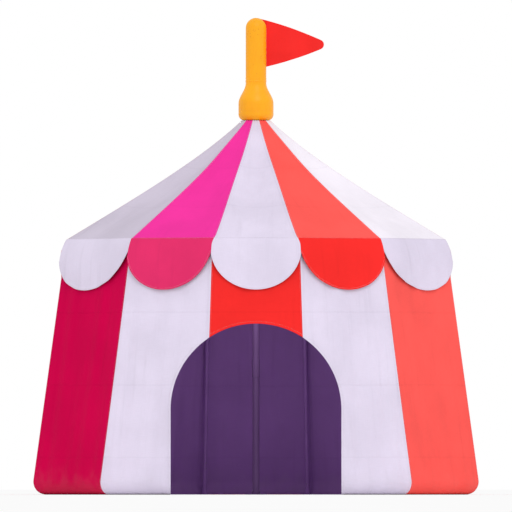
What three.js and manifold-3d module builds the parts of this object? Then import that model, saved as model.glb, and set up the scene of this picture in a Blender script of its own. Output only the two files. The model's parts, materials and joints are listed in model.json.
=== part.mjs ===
// Circus big top: a twelve-sided tent with a swooping striped roof, a scalloped valance,
// leaning striped walls and an arched doorway, topped by a finial with a pennant.
// Millimetres, +Z up. The origin is on the ground under the crown, the doorway faces -Y
// and the pennant flies towards +X.
import * as THREE from 'three';
import { mergeVertices } from 'three/addons/utils/BufferGeometryUtils.js';
import Module from 'manifold-3d';

const wasm = await Module();
wasm.setup();

// Driving dimensions. A half width is measured along the X axis, from the tent's centre to its
// widest corner, and every other corner follows from it. A run is how far the roof goes
// outwards for each millimetre that it falls.
const EAVE_Z = 5100;
const CROWN_Z = 7500;
const CROWN_HALF_WIDTH = 286;
const EAVE_HALF_WIDTH = 3790;
const GROUND_HALF_WIDTH = 4492;
const WALL_LEAN = 0.1376;
const ROOF_RUN_AT_CROWN = 1.045;
const ROOF_RUN_AT_EAVE = 1.63;
const CLOTH = 10;
const SEAT = 0.4;

// The angles that the bays take in plan, in degrees, from the front bay round to the back one.
const BAY_ANGLES = [25.9, 26.9, 38.65, 29, 29, 29, 29];
// The second corner from the front is pegged this many degrees nearer to the side bays at the
// ground than at the eave.
const GROUND_SPLAY = 3.25;
const BAY_COUNT = 12;
const BACK_BAY = 6;
const DOOR_BAYS = [-1, 0, 1];

// The stretch of roof that lies on the crown ring, and the steps of the curve below it.
const CROWN_DEPTH = 120;
const ROOF_STEPS = 10;

// The valance flares out, fast at first and then ever less. Each of its scallops hangs lowest
// a little towards the back of the tent.
const VALANCE_CLOTH = 8;
const VALANCE_DROP = 1021;
const VALANCE_FLARE = 158;
const FLARE_EASE = 3.8;
const FLARE_STEPS = 6;
const FLARE_STEP_GROWTH = 1.7;
const SCALLOP_SHOULDER = 200;
const SCALLOP_SKEW = 0.28;
const SCALLOP_SEGMENTS = 42;

// The wall's foot curls in to lie flat on the ground, and its top bends in under the roof.
const FOOT_RADIUS = 260;
const FOOT_STEPS = 6;
const WALL_BEND_Z = 4900;
const WALL_TOP_INSET = 16;

const DOOR_HALF_WIDTH = 1700;
const DOOR_SPRING_Z = 1700;
const DOOR_SEGMENTS = 36;

const RING_RADIUS = 30;
const RING_SIDES = 8;
const RING_INSET = 60;
const SIDE_POLE_RADIUS = 38;
const SIDE_POLE_FOOT_HALF_WIDTH = 4080;
const SIDE_PLATE = { radius: 90, thickness: 12 };

const KING_POLE = { radius: 70, plateRadius: 220, plate: 16, collarRadius: 120, collar: 30 };
const KING_SPIGOT_RADIUS = 60;
const POLE_SIDES = 16;
const KING_POLE_SIDES = 24;

const FINIAL = {
  footRadius: 351,
  footRound: 125,
  flareBottomZ: 7840,
  flareTopZ: 8255,
  shaftRadius: 206,
  topZ: 9560,
  sides: 32,
  footSteps: 5,
  flareSteps: 8,
  domeSteps: 7,
};

// The angles are how steeply the pennant's edges run where they meet its round tip.
const PENNANT = {
  topZ: 9540,
  bottomZ: 8580,
  tipX: 1362,
  tipZ: 9024,
  tipRadius: 100,
  topAngle: 24.4,
  bottomAngle: 22.3,
  cloth: 16,
};
const PENNANT_SEGMENTS = 8;

const COLOURS = {
  roofWhite: '#e0d7eb',
  roofGrey: '#cdc4d5',
  roofLight: '#f4eef8',
  roofPink: '#f837a1',
  roofCoral: '#ff5e58',
  valanceRaspberry: '#e4336c',
  valanceRed: '#f8302e',
  wallCrimson: '#c90a49',
  lining: '#523566',
  finial: '#ffaf2d',
};

// Small helpers that turn points into closed meshes, and meshes into solids and back.

function closedGeometry(points, triangles) {
  const volume = triangles.reduce((sum, [a, b, c]) => {
    const normal = new THREE.Vector3().crossVectors(points[b], points[c]);
    return sum + points[a].dot(normal);
  }, 0);
  const faces = volume < 0 ? triangles.map(([a, b, c]) => [a, c, b]) : triangles;
  const geometry = new THREE.BufferGeometry();
  const flat = points.flatMap((point) => point.toArray());
  geometry.setAttribute('position', new THREE.Float32BufferAttribute(flat, 3));
  geometry.setIndex(faces.flat());
  return geometry;
}

function toSolid(geometry) {
  const bare = geometry.clone();
  bare.deleteAttribute('normal');
  bare.deleteAttribute('uv');
  const merged = mergeVertices(bare, 1e-3);
  return new wasm.Manifold(new wasm.Mesh({
    numProp: 3,
    vertProperties: new Float32Array(merged.attributes.position.array),
    triVerts: new Uint32Array(merged.index.array),
  }));
}

function toGeometry(solid) {
  const mesh = solid.getMesh();
  const geometry = new THREE.BufferGeometry();
  geometry.setAttribute('position', new THREE.BufferAttribute(mesh.vertProperties, 3));
  geometry.setIndex(new THREE.BufferAttribute(mesh.triVerts, 1));
  return geometry;
}

function finish(colour, roughness = 0.8, metalness = 0) {
  return new THREE.MeshStandardMaterial({ color: colour, roughness, metalness });
}

// The plan. Bays are numbered from 0 at the front, up to the right and down to the left, and
// their corners all lie on one circle at each height.

const degrees = THREE.MathUtils.degToRad;

function bayMiddle(bay) {
  const turns = Math.abs(bay);
  let angle = 0;
  for (let step = 0; step < turns; step += 1) {
    angle += (BAY_ANGLES[step] + BAY_ANGLES[step + 1]) / 2;
  }
  return degrees(Math.sign(bay) * angle);
}

function bayHalfAngle(bay) {
  return degrees(BAY_ANGLES[Math.abs(bay)] / 2);
}

const SIDE_BAY = 3;
const SPLAYED_CORNER = bayMiddle(1) + bayHalfAngle(1);
const WIDEST_CORNER = bayMiddle(SIDE_BAY) - bayHalfAngle(SIDE_BAY);

function cornerPoint(angle, halfWidth, z) {
  const radius = halfWidth / Math.sin(WIDEST_CORNER);
  return new THREE.Vector3(radius * Math.sin(angle), -radius * Math.cos(angle), z);
}

// Where a corner of the walls and side poles lies: at the eave it is under the roof's corner,
// and from there down a splayed corner turns towards the side bays.
function splayedAngle(angle, z) {
  const isSplayed = Math.abs(Math.abs(angle) - SPLAYED_CORNER) < degrees(1);
  if (!isSplayed) return angle;
  return angle + Math.sign(angle) * degrees(GROUND_SPLAY) * (1 - z / EAVE_Z);
}

function bayName(bay) {
  if (bay === 0) return 'front';
  if (bay === BACK_BAY) return 'back';
  return bay > 0 ? `right_${bay}` : `left_${-bay}`;
}

const BAYS = Array.from({ length: BAY_COUNT }, (_, index) => {
  return index > BACK_BAY ? index - BAY_COUNT : index;
});

// A piece that spans one bay: an outline of half widths and heights, run straight from one
// corner of the bay to the next, and drawn in at both ends so that neighbours don't touch.
// cornerAngle may turn a corner by its height, which twists the faces. They are then split
// along the diagonal that sags inwards: from top left to bottom right in a right bay, on the
// outer and on the inner side, and the other way in a left bay.
function bayPiece(bay, outline, cornerAngle = (angle) => angle) {
  const middle = bayMiddle(bay);
  const half = bayHalfAngle(bay);
  const along = new THREE.Vector3(Math.cos(middle), Math.sin(middle), 0).multiplyScalar(SEAT / 2);
  const corner = (angle) => outline.map(({ x, y }) => cornerPoint(cornerAngle(angle, y), x, y));
  const left = corner(middle - half).map((point) => point.add(along));
  const right = corner(middle + half).map((point) => point.sub(along));
  const count = outline.length;
  const triangles = [];
  for (const [a, b, c] of THREE.ShapeUtils.triangulateShape(outline, [])) {
    triangles.push([a, b, c], [a + count, c + count, b + count]);
  }
  const turn = THREE.ShapeUtils.area(outline) > 0;
  for (let index = 0; index < count; index += 1) {
    const next = (index + 1) % count;
    const [from, to] = turn ? [next, index] : [index, next];
    const goesDown = outline[from].y > outline[to].y;
    if (goesDown === bay > 0) {
      triangles.push([from, to, to + count]);
      triangles.push([from, to + count, from + count]);
    } else {
      triangles.push([from, to, from + count]);
      triangles.push([to, to + count, from + count]);
    }
  }
  return closedGeometry([...left, ...right], triangles);
}

// A ring that runs round all twelve corners, with the same outline at each.
function ringPiece(outline) {
  const corners = BAYS.map((bay) => bayMiddle(bay) + bayHalfAngle(bay));
  const points = corners.flatMap((angle) => outline.map(({ x, y }) => cornerPoint(angle, x, y)));
  const count = outline.length;
  const triangles = [];
  for (let corner = 0; corner < BAY_COUNT; corner += 1) {
    const here = corner * count;
    const there = ((corner + 1) % BAY_COUNT) * count;
    for (let index = 0; index < count; index += 1) {
      const next = (index + 1) % count;
      triangles.push([here + index, there + index, there + next]);
      triangles.push([here + index, there + next, here + next]);
    }
  }
  return closedGeometry(points, triangles);
}

// A cloth outline: a line that runs downwards, and the same line a cloth's thickness outside it.
function clothOutline(inner, thickness) {
  const outer = inner.map((point, index) => {
    const before = inner[Math.max(index - 1, 0)];
    const after = inner[Math.min(index + 1, inner.length - 1)];
    const run = after.clone().sub(before).normalize();
    return new THREE.Vector2(point.x - run.y * thickness, point.y + run.x * thickness);
  });
  return [...outer, ...inner.toReversed()];
}

// The roof's profile, from the crown down: it leaves the crown steeply and flattens out. It is
// the cubic curve that has the given run at each end.

const ROOF_DROP = CROWN_Z - EAVE_Z;
const ROOF_MEAN_RUN = (EAVE_HALF_WIDTH - CROWN_HALF_WIDTH) / ROOF_DROP;
const ROOF_SQUARE = (3 * ROOF_MEAN_RUN - 2 * ROOF_RUN_AT_CROWN - ROOF_RUN_AT_EAVE) / ROOF_DROP;
const ROOF_CUBE = (ROOF_RUN_AT_CROWN + ROOF_RUN_AT_EAVE - 2 * ROOF_MEAN_RUN) / ROOF_DROP ** 2;

function roofPoint(drop) {
  const spread = ROOF_RUN_AT_CROWN * drop + ROOF_SQUARE * drop ** 2 + ROOF_CUBE * drop ** 3;
  return new THREE.Vector2(CROWN_HALF_WIDTH + spread, CROWN_Z - drop);
}

function roofUnderside(drop, depth) {
  const run = ROOF_RUN_AT_CROWN + 2 * ROOF_SQUARE * drop + 3 * ROOF_CUBE * drop ** 2;
  const down = new THREE.Vector2(-1, -run).normalize().multiplyScalar(depth);
  return roofPoint(drop).add(down);
}

const roofDrops = [SEAT];
for (let step = 0; step <= ROOF_STEPS; step += 1) {
  roofDrops.push(CROWN_DEPTH + ((ROOF_DROP - CROWN_DEPTH) * step) / ROOF_STEPS);
}

function roofGore(bay) {
  const outer = roofDrops.map(roofPoint);
  const inner = roofDrops.map((drop) => roofUnderside(drop, CLOTH));
  return bayPiece(bay, [...outer, ...inner.reverse()]);
}

// The valance: a flared strip that is sewn to the roof's edge, cut to a scallop with square
// shoulders.

function valancePoint(drop) {
  const flare = 1 - (1 - Math.min(drop / VALANCE_DROP, 1)) ** FLARE_EASE;
  return new THREE.Vector2(EAVE_HALF_WIDTH + SEAT + VALANCE_FLARE * flare, EAVE_Z - drop);
}

function valanceScallop(bay) {
  const drops = [];
  for (let step = 0; step <= FLARE_STEPS; step += 1) {
    drops.push((VALANCE_DROP + CLOTH) * (step / FLARE_STEPS) ** FLARE_STEP_GROWTH);
  }
  const strip = toSolid(bayPiece(bay, clothOutline(drops.map(valancePoint), VALANCE_CLOTH)));

  const middle = bayMiddle(bay);
  const widest = valancePoint(VALANCE_DROP).x / Math.sin(WIDEST_CORNER);
  const halfWidth = widest * Math.sin(bayHalfAngle(bay));
  const skew = SCALLOP_SKEW * Math.sin(middle);
  const shoulderZ = EAVE_Z - SCALLOP_SHOULDER;
  const depth = VALANCE_DROP - SCALLOP_SHOULDER;
  const shape = new THREE.Shape();
  shape.moveTo(halfWidth, EAVE_Z + CLOTH);
  shape.lineTo(-halfWidth, EAVE_Z + CLOTH);
  for (let step = 0; step <= SCALLOP_SEGMENTS; step += 1) {
    const turn = Math.PI * (step / SCALLOP_SEGMENTS - 0.5);
    const across = halfWidth * (Math.sin(turn) + skew * Math.cos(turn));
    shape.lineTo(across, shoulderZ - depth * Math.cos(turn));
  }
  const cutter = new THREE.ExtrudeGeometry(shape, {
    depth: GROUND_HALF_WIDTH,
    bevelEnabled: false,
  });
  const right = new THREE.Vector3(Math.cos(middle), Math.sin(middle), 0);
  const out = new THREE.Vector3(Math.sin(middle), -Math.cos(middle), 0);
  cutter.applyMatrix4(new THREE.Matrix4().makeBasis(right, new THREE.Vector3(0, 0, 1), out));
  return toGeometry(strip.intersect(toSolid(cutter)));
}

// The wall's profile, from the top down: bent in under the roof, straight and leaning, then
// curled in at the foot.

function wallHalfWidth(z) {
  return GROUND_HALF_WIDTH - WALL_LEAN * z;
}

function wallLine(inset) {
  const topHalfWidth = EAVE_HALF_WIDTH - WALL_TOP_INSET;
  const roofEdge = roofUnderside(ROOF_DROP, CLOTH + SEAT);
  const topZ = roofEdge.y + (roofEdge.x - topHalfWidth) / ROOF_RUN_AT_EAVE - SEAT;
  const lean = Math.atan(WALL_LEAN);
  const footCentre = new THREE.Vector2(
    wallHalfWidth(FOOT_RADIUS) - FOOT_RADIUS / Math.cos(lean),
    FOOT_RADIUS,
  );
  const line = [
    new THREE.Vector2(topHalfWidth - inset, topZ),
    new THREE.Vector2(wallHalfWidth(WALL_BEND_Z) - inset, WALL_BEND_Z),
  ];
  for (let step = 0; step <= FOOT_STEPS; step += 1) {
    const angle = lean - ((lean + Math.PI / 2) * step) / FOOT_STEPS;
    const spoke = new THREE.Vector2(Math.cos(angle), Math.sin(angle));
    line.push(footCentre.clone().addScaledVector(spoke, FOOT_RADIUS - inset));
  }
  return line;
}

function doorwayCutter() {
  const shape = new THREE.Shape();
  shape.moveTo(-DOOR_HALF_WIDTH, -CLOTH);
  shape.lineTo(DOOR_HALF_WIDTH, -CLOTH);
  shape.lineTo(DOOR_HALF_WIDTH, DOOR_SPRING_Z);
  shape.absarc(0, DOOR_SPRING_Z, DOOR_HALF_WIDTH, 0, Math.PI, false);
  const cutter = new THREE.ExtrudeGeometry(shape, {
    depth: GROUND_HALF_WIDTH,
    bevelEnabled: false,
    curveSegments: DOOR_SEGMENTS,
  });
  return cutter.rotateX(Math.PI / 2).translate(0, -DOOR_HALF_WIDTH, 0);
}

function wallPanel(bay) {
  const panel = bayPiece(bay, [...wallLine(0), ...wallLine(CLOTH).reverse()], splayedAngle);
  if (!DOOR_BAYS.includes(bay)) return panel;
  return toGeometry(toSolid(panel).subtract(toSolid(doorwayCutter())));
}

// The frame: a king pole with a crown ring, and side poles with an eave ring.

// The eave ring is an eight-sided tube with one flat against the underside of the roof's last
// straight stretch, RING_INSET in from the roof's edge.
const ringSection = (() => {
  const turn = (2 * Math.PI) / RING_SIDES;
  const [above, edge] = roofDrops.slice(-2).map((drop) => roofUnderside(drop, CLOTH));
  const inwards = above.clone().sub(edge).normalize();
  const downwards = new THREE.Vector2(-inwards.y, inwards.x);
  const centre = edge.clone()
    .addScaledVector(inwards, RING_INSET)
    .addScaledVector(downwards, SEAT + RING_RADIUS * Math.cos(turn / 2));
  return Array.from({ length: RING_SIDES }, (_, side) => {
    const spoke = downwards.clone().rotateAround(new THREE.Vector2(), (side + 0.5) * turn);
    return centre.clone().addScaledVector(spoke, RING_RADIUS);
  });
})();
const RING_BOTTOM = ringSection.reduce((low, point) => (point.y < low.y ? point : low));

function eaveRing() {
  return ringPiece(ringSection);
}

function crownRing() {
  const bore = KING_SPIGOT_RADIUS + CLOTH;
  const top = roofUnderside(roofDrops[0], CLOTH + SEAT);
  const bottom = roofUnderside(roofDrops[1], CLOTH + SEAT);
  return ringPiece([
    new THREE.Vector2(bore, bottom.y),
    bottom,
    top,
    new THREE.Vector2(bore, top.y),
  ]);
}

const CROWN_RING_BOTTOM = roofUnderside(roofDrops[1], CLOTH + SEAT).y;

function kingPole() {
  const { radius, plateRadius, plate, collarRadius, collar } = KING_POLE;
  const collarTop = CROWN_RING_BOTTOM - SEAT;
  const profile = [
    [0, 0],
    [plateRadius, 0],
    [plateRadius, plate],
    [radius, plate],
    [radius, collarTop - collar],
    [collarRadius, collarTop - collar],
    [collarRadius, collarTop],
    [KING_SPIGOT_RADIUS, collarTop],
    [KING_SPIGOT_RADIUS, CROWN_Z - SEAT],
    [0, CROWN_Z - SEAT],
  ];
  return new THREE.LatheGeometry(profile.map(([x, y]) => new THREE.Vector2(x, y)), KING_POLE_SIDES)
    .rotateX(Math.PI / 2);
}

function sidePole(angle) {
  const topZ = RING_BOTTOM.y - SEAT;
  const foot = cornerPoint(splayedAngle(angle, 0), SIDE_POLE_FOOT_HALF_WIDTH, 0);
  const head = cornerPoint(splayedAngle(angle, topZ), RING_BOTTOM.x, topZ);
  const pole = new THREE.CylinderGeometry(SIDE_POLE_RADIUS, SIDE_POLE_RADIUS, topZ, POLE_SIDES);
  pole.rotateX(Math.PI / 2).translate(0, 0, topZ / 2);
  const shear = new THREE.Matrix4().set(
    1, 0, (head.x - foot.x) / topZ, foot.x,
    0, 1, (head.y - foot.y) / topZ, foot.y,
    0, 0, 1, 0,
    0, 0, 0, 1,
  );
  pole.applyMatrix4(shear);
  const plate = new THREE.CylinderGeometry(
    SIDE_PLATE.radius, SIDE_PLATE.radius, SIDE_PLATE.thickness, POLE_SIDES,
  );
  plate.rotateX(Math.PI / 2).translate(foot.x, foot.y, SIDE_PLATE.thickness / 2);
  return toGeometry(toSolid(pole).add(toSolid(plate)));
}

// The finial: a bell foot with a rounded edge, an S-shaped flare, a shaft and a domed top.
function finialOutline() {
  const { footRadius, footRound, flareBottomZ, flareTopZ, shaftRadius, topZ } = FINIAL;
  const { footSteps, flareSteps, domeSteps } = FINIAL;
  const profile = [new THREE.Vector2(0, CROWN_Z)];
  for (let step = 0; step <= footSteps; step += 1) {
    const angle = (Math.PI / 2) * (step / footSteps - 1);
    profile.push(new THREE.Vector2(
      footRadius - footRound + footRound * Math.cos(angle),
      CROWN_Z + footRound + footRound * Math.sin(angle),
    ));
  }
  for (let step = 0; step <= flareSteps; step += 1) {
    const rise = step / flareSteps;
    const eased = (1 - Math.cos(Math.PI * rise)) / 2;
    profile.push(new THREE.Vector2(
      footRadius + (shaftRadius - footRadius) * eased,
      flareBottomZ + (flareTopZ - flareBottomZ) * rise,
    ));
  }
  for (let step = 0; step < domeSteps; step += 1) {
    const angle = ((Math.PI / 2) * step) / domeSteps;
    profile.push(new THREE.Vector2(
      shaftRadius * Math.cos(angle),
      topZ - shaftRadius + shaftRadius * Math.sin(angle),
    ));
  }
  profile.push(new THREE.Vector2(0, topZ));
  return profile;
}

function finial() {
  return new THREE.LatheGeometry(finialOutline(), FINIAL.sides).rotateX(Math.PI / 2);
}

// The pennant: a long triangle with a round tip, whose hoist follows the shaft and its dome.
// Each long edge is a soft curve that runs smoothly into the tip.
function pennant() {
  const { topZ, bottomZ, tipX, tipZ, tipRadius, cloth } = PENNANT;
  const hoist = FINIAL.shaftRadius + SEAT;
  const domeZ = FINIAL.topZ - FINIAL.shaftRadius;
  const domeAngle = Math.asin((topZ - domeZ) / hoist);
  const topX = hoist * Math.cos(domeAngle);
  const tipCentre = tipX - tipRadius;
  const tipTop = Math.PI / 2 - degrees(PENNANT.topAngle);
  const tipBottom = degrees(PENNANT.bottomAngle) - Math.PI / 2;
  const onTip = (angle) => new THREE.Vector2(
    tipCentre + tipRadius * Math.cos(angle), tipZ + tipRadius * Math.sin(angle),
  );
  const [above, below] = [onTip(tipTop), onTip(tipBottom)];
  const [topReach, bottomReach] = [(above.x - topX) / 2, (below.x - hoist) / 2];
  const shape = new THREE.Shape();
  shape.moveTo(hoist, bottomZ);
  shape.quadraticCurveTo(
    below.x - bottomReach, below.y - bottomReach / Math.tan(-tipBottom), below.x, below.y,
  );
  shape.absarc(tipCentre, tipZ, tipRadius, tipBottom, tipTop, false);
  shape.quadraticCurveTo(
    above.x - topReach, above.y + topReach / Math.tan(tipTop), topX, topZ,
  );
  shape.absarc(0, domeZ, hoist, domeAngle, 0, true);
  const flag = new THREE.ExtrudeGeometry(shape, {
    depth: cloth,
    bevelEnabled: false,
    curveSegments: PENNANT_SEGMENTS,
  });
  return flag.translate(0, 0, -cloth / 2).rotateX(Math.PI / 2);
}

// The stripes. Odd bays are coloured on the roof and valance, and even bays on the walls.

function roofColour(bay) {
  const turn = (bay + BAY_COUNT) % BAY_COUNT;
  if (turn % 2 === 1) return turn % 4 === 3 ? COLOURS.roofPink : COLOURS.roofCoral;
  return [COLOURS.roofWhite, COLOURS.roofLight, COLOURS.roofGrey][(turn / 2) % 3];
}

function valanceColour(bay) {
  const turn = (bay + BAY_COUNT) % BAY_COUNT;
  if (turn % 2 === 0) return COLOURS.roofWhite;
  return turn % 4 === 3 ? COLOURS.valanceRaspberry : COLOURS.valanceRed;
}

function wallColour(bay) {
  const turn = (bay + BAY_COUNT) % BAY_COUNT;
  if (turn % 2 === 1) return COLOURS.roofWhite;
  return [COLOURS.valanceRed, COLOURS.roofCoral, COLOURS.wallCrimson][(turn / 2) % 3];
}

// The assembly.

const tent = new THREE.Group();

function addPiece(name, geometry, material) {
  const mesh = new THREE.Mesh(geometry, material);
  mesh.name = name;
  tent.add(mesh);
}

for (const bay of BAYS) {
  addPiece(`roof_${bayName(bay)}`, roofGore(bay), finish(roofColour(bay)));
  addPiece(`valance_${bayName(bay)}`, valanceScallop(bay), finish(valanceColour(bay)));
  addPiece(`wall_${bayName(bay)}`, wallPanel(bay), finish(wallColour(bay)));
}

// Side pole n stands at the corner between bays n and n + 1. The doorway takes the first
// corner on each side.
for (let corner = 1; corner < BACK_BAY; corner += 1) {
  const angle = bayMiddle(corner) + bayHalfAngle(corner);
  addPiece(`side_pole_right_${corner}`, sidePole(angle), finish(COLOURS.lining, 0.5, 0.6));
  addPiece(`side_pole_left_${corner}`, sidePole(-angle), finish(COLOURS.lining, 0.5, 0.6));
}

addPiece('eave_ring', eaveRing(), finish(COLOURS.lining, 0.5, 0.6));
addPiece('crown_ring', crownRing(), finish(COLOURS.lining, 0.5, 0.6));
addPiece('king_pole', kingPole(), finish(COLOURS.lining, 0.5, 0.6));
addPiece('finial', finial(), finish(COLOURS.finial, 0.45));
addPiece('pennant', pennant(), finish(COLOURS.valanceRed));

export default tent;
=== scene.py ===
# %% [markdown]
# # A circus big top, from bare frame to finished canvas
#
# A big top is a simple machine of cloth and poles. One tall king pole holds up a crown ring,
# a ring of side poles holds up the eave, and the cloth is stretched over both. The solids of
# the frame come in ready made, at their real size. This lesson dresses them: every sheet of
# canvas is woven again as a thin, folded, stitched mesh, and every pole and rivet gets its own
# finish. The dressed tent has to stay inside it.

# %% Load the frame
import json
import math
from collections import namedtuple

import bpy
import numpy as np
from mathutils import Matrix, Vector


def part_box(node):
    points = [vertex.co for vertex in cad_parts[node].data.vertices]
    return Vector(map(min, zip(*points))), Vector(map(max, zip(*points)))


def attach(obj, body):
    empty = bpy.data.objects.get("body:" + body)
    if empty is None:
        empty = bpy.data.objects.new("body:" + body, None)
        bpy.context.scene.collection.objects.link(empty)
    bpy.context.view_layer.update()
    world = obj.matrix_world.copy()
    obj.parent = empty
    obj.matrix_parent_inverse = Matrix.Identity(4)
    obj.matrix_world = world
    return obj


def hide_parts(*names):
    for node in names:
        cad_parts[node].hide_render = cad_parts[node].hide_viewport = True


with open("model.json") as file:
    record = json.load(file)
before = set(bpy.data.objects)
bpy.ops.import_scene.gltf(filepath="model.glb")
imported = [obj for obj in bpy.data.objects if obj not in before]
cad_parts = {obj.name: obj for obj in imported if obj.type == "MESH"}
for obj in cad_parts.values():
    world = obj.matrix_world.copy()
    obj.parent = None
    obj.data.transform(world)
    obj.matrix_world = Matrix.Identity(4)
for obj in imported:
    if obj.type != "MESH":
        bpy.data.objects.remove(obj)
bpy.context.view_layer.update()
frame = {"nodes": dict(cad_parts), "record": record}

# %% [markdown]
# ## Points and objects
#
# A set of points is always an array whose last axis holds the coordinates. Every object is
# made by the same few lines, which link it and store what its points have to remember.

# %% Helpers for points and objects
FULL_TURN = 2 * math.pi
SMOOTH_ANGLE = math.radians(38)


def together(*parts):
    """Numbers and arrays, spread to one shape and laid side by side as points."""
    return np.stack(np.broadcast_arrays(*parts), axis=-1)


def circle(radius, z, count, centre=(0.0, 0.0), start=0.0):
    """Points at even steps round a level circle."""
    turns = (np.arange(count) + start) * (FULL_TURN / count)
    return together(centre[0] + radius * np.cos(turns), centre[1] + radius * np.sin(turns), z)


def arc(middle, radius, turns):
    """Flat points round a middle, one at each of the turns."""
    return together(middle[0] + radius * np.cos(turns), middle[1] + radius * np.sin(turns))


def walk(curve):
    """The way walked along a curve to each of its points."""
    return np.concatenate([[0.0], np.cumsum(np.linalg.norm(np.diff(curve, axis=0), axis=1))])


def even_steps(curve, count):
    """Points at even steps along a curve."""
    walked = walk(curve)
    wanted = np.linspace(0, walked[-1], count)
    return together(*(np.interp(wanted, walked, axis) for axis in curve.T))


def link_new(name, data):
    """A new object in the scene, at the origin, that shows some data."""
    made = bpy.data.objects.new(name, data)
    bpy.context.scene.collection.objects.link(made)
    return made


def look_along(camera_or_lamp, way):
    camera_or_lamp.rotation_euler = way.to_track_quat("-Z", "Y").to_euler()


def give_vectors(mesh, name, values):
    """Stores a vector with each point of a mesh."""
    made = mesh.attributes.new(name, "FLOAT_VECTOR", "POINT")
    made.data.foreach_set("vector", np.asarray(values, np.float32).ravel())


def make_object(name, points, faces, materials, face_materials=None, vectors=None):
    """A mesh object, smooth except at sharp edges, with vectors for its points."""
    mesh = bpy.data.meshes.new(name)
    mesh.from_pydata(np.asarray(points).tolist(), [], [list(face) for face in faces])
    for material in materials:
        mesh.materials.append(material)
    if face_materials is not None:
        mesh.polygons.foreach_set("material_index", np.asarray(face_materials, np.int32))
    for key, values in (vectors or {}).items():
        give_vectors(mesh, key, values)
    mesh.polygons.foreach_set("use_smooth", np.ones(len(mesh.polygons), bool))
    mesh.set_sharp_from_angle(angle=SMOOTH_ANGLE)
    mesh.validate()
    return link_new(name, mesh)


def dress(piece, slot, *nodes):
    """Makes a finished piece stand for its nodes, if it has any, and ride on the tent."""
    for node in nodes:
        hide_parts(node)
    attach(piece, "root")
    return piece


# %% [markdown]
# ## The camera
#
# The drawing shows the tent straight from the front, with no vanishing lines at all. A very
# long lens from far away gives that look. The camera stands low, so the ground is seen edge-on,
# through the doorway too, and it looks up at the middle of the picture.

# %% Place the camera
PICTURE_PIXELS = 512
METRES_PER_PIXEL = 0.02
PICTURE_MIDDLE_Z = 4.772
CAMERA_Z = 0.25
LENS = 1600.0
SENSOR = 36.0
SCALE_PLANE_Y = -1.2
CLIP_START = 10.0

camera_distance = PICTURE_PIXELS * METRES_PER_PIXEL * LENS / SENSOR
camera_data = bpy.data.cameras.new("front_camera")
camera_data.lens = LENS
camera_data.sensor_width = SENSOR
camera_data.clip_start = CLIP_START
camera_data.clip_end = 2.0 * camera_distance
camera = link_new("front_camera", camera_data)
camera.location = (0.0, SCALE_PLANE_Y - camera_distance, CAMERA_Z)
sight = Vector((0.0, SCALE_PLANE_Y, PICTURE_MIDDLE_Z)) - camera.location
look_along(camera, sight)
bpy.context.scene.camera = camera
print(f"camera {camera_distance:.0f} m away, "
      f"looking up by {math.degrees(sight.z / sight.length):.2f} degrees")

# %% [markdown]
# ## Short ways to build node trees
#
# Every material below is a tree of nodes, and so are the stitches and the bolts. Small helpers
# do the repeated work: one feeds sockets with values or links, one adds a node, and the others
# give the result of a sum, a colour mix, a change of range or a noise.

# %% Node helpers
COLOUR_MIX_INPUTS = (0, 6, 7)
COLOUR_MIX_OUTPUT = 2
NOISE_MOSTLY = (0.3, 0.7)
SOCKET_KINDS = {
    "Colour": "Color", "Ground": "Color", "Lay": "Vector", "Seam": "Vector", "Place": "Vector",
    "Geometry": "Geometry", "Thread": "Material", "Metal": "Material", "Sides": "Int",
}
WHITE = (1, 1, 1, 1)


def feed(tree, sockets, values):
    """Fills each named socket with a value, or links it to another socket."""
    for key, value in values.items():
        if isinstance(value, bpy.types.NodeSocket):
            tree.links.new(value, sockets[key])
        else:
            sockets[key].default_value = value


def add(tree, kind, inputs=None, **settings):
    """Adds a node, sets it up and feeds its inputs."""
    node = tree.nodes.new(kind)
    for name, value in settings.items():
        setattr(node, name, value)
    feed(tree, node.inputs, inputs or {})
    return node


def maths(tree, operation, *values, clamp=False):
    """The result of one sum on numbers or sockets."""
    return add(tree, "ShaderNodeMath", dict(enumerate(values)),
               operation=operation, use_clamp=clamp).outputs[0]


def product(tree, first, second):
    return maths(tree, "MULTIPLY", first, second)


def total(tree, first, second, clamp=False):
    return maths(tree, "ADD", first, second, clamp=clamp)


def blend(tree, share, first, second):
    """The first colour, mixed with the second by a share from 0 to 1."""
    values = dict(zip(COLOUR_MIX_INPUTS, (share, first, second)))
    return add(tree, "ShaderNodeMix", values, data_type="RGBA").outputs[COLOUR_MIX_OUTPUT]


def scaled(tree, colour, share):
    """A colour made darker or brighter."""
    values = {0: colour, "Scale": share}
    return add(tree, "ShaderNodeVectorMath", values, operation="SCALE").outputs[0]


def ramp(tree, value, start, end, low=0.0, high=1.0):
    """A value eased from low to high while the input goes from start to end."""
    values = {"Value": value, "From Min": start, "From Max": end, "To Min": low, "To Max": high}
    node = add(tree, "ShaderNodeMapRange", values, interpolation_type="SMOOTHSTEP")
    return node.outputs["Result"]


def wander(tree, fac, low, high):
    """Noise that wanders from low to high instead of from 0 to 1."""
    return ramp(tree, fac, *NOISE_MOSTLY, low, high)


def noise(tree, vector, scale, detail=3.0, stretch=(1.0, 1.0, 1.0)):
    """Soft noise from 0 to 1 on a set of coordinates, stretched along any of them."""
    mapped = add(tree, "ShaderNodeMapping", {"Vector": vector, "Scale": stretch})
    values = {"Vector": mapped.outputs[0], "Scale": scale, "Detail": detail}
    return add(tree, "ShaderNodeTexNoise", values).outputs["Fac"]


def object_place(tree):
    """Where a point lies on its object, in metres."""
    return add(tree, "ShaderNodeTexCoord").outputs["Object"]


def bumped(tree, distance, height):
    """Normals that follow a height of 0 to 1 times a distance."""
    values = {"Strength": 1.0, "Distance": distance, "Height": height}
    return add(tree, "ShaderNodeBump", values).outputs["Normal"]


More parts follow.
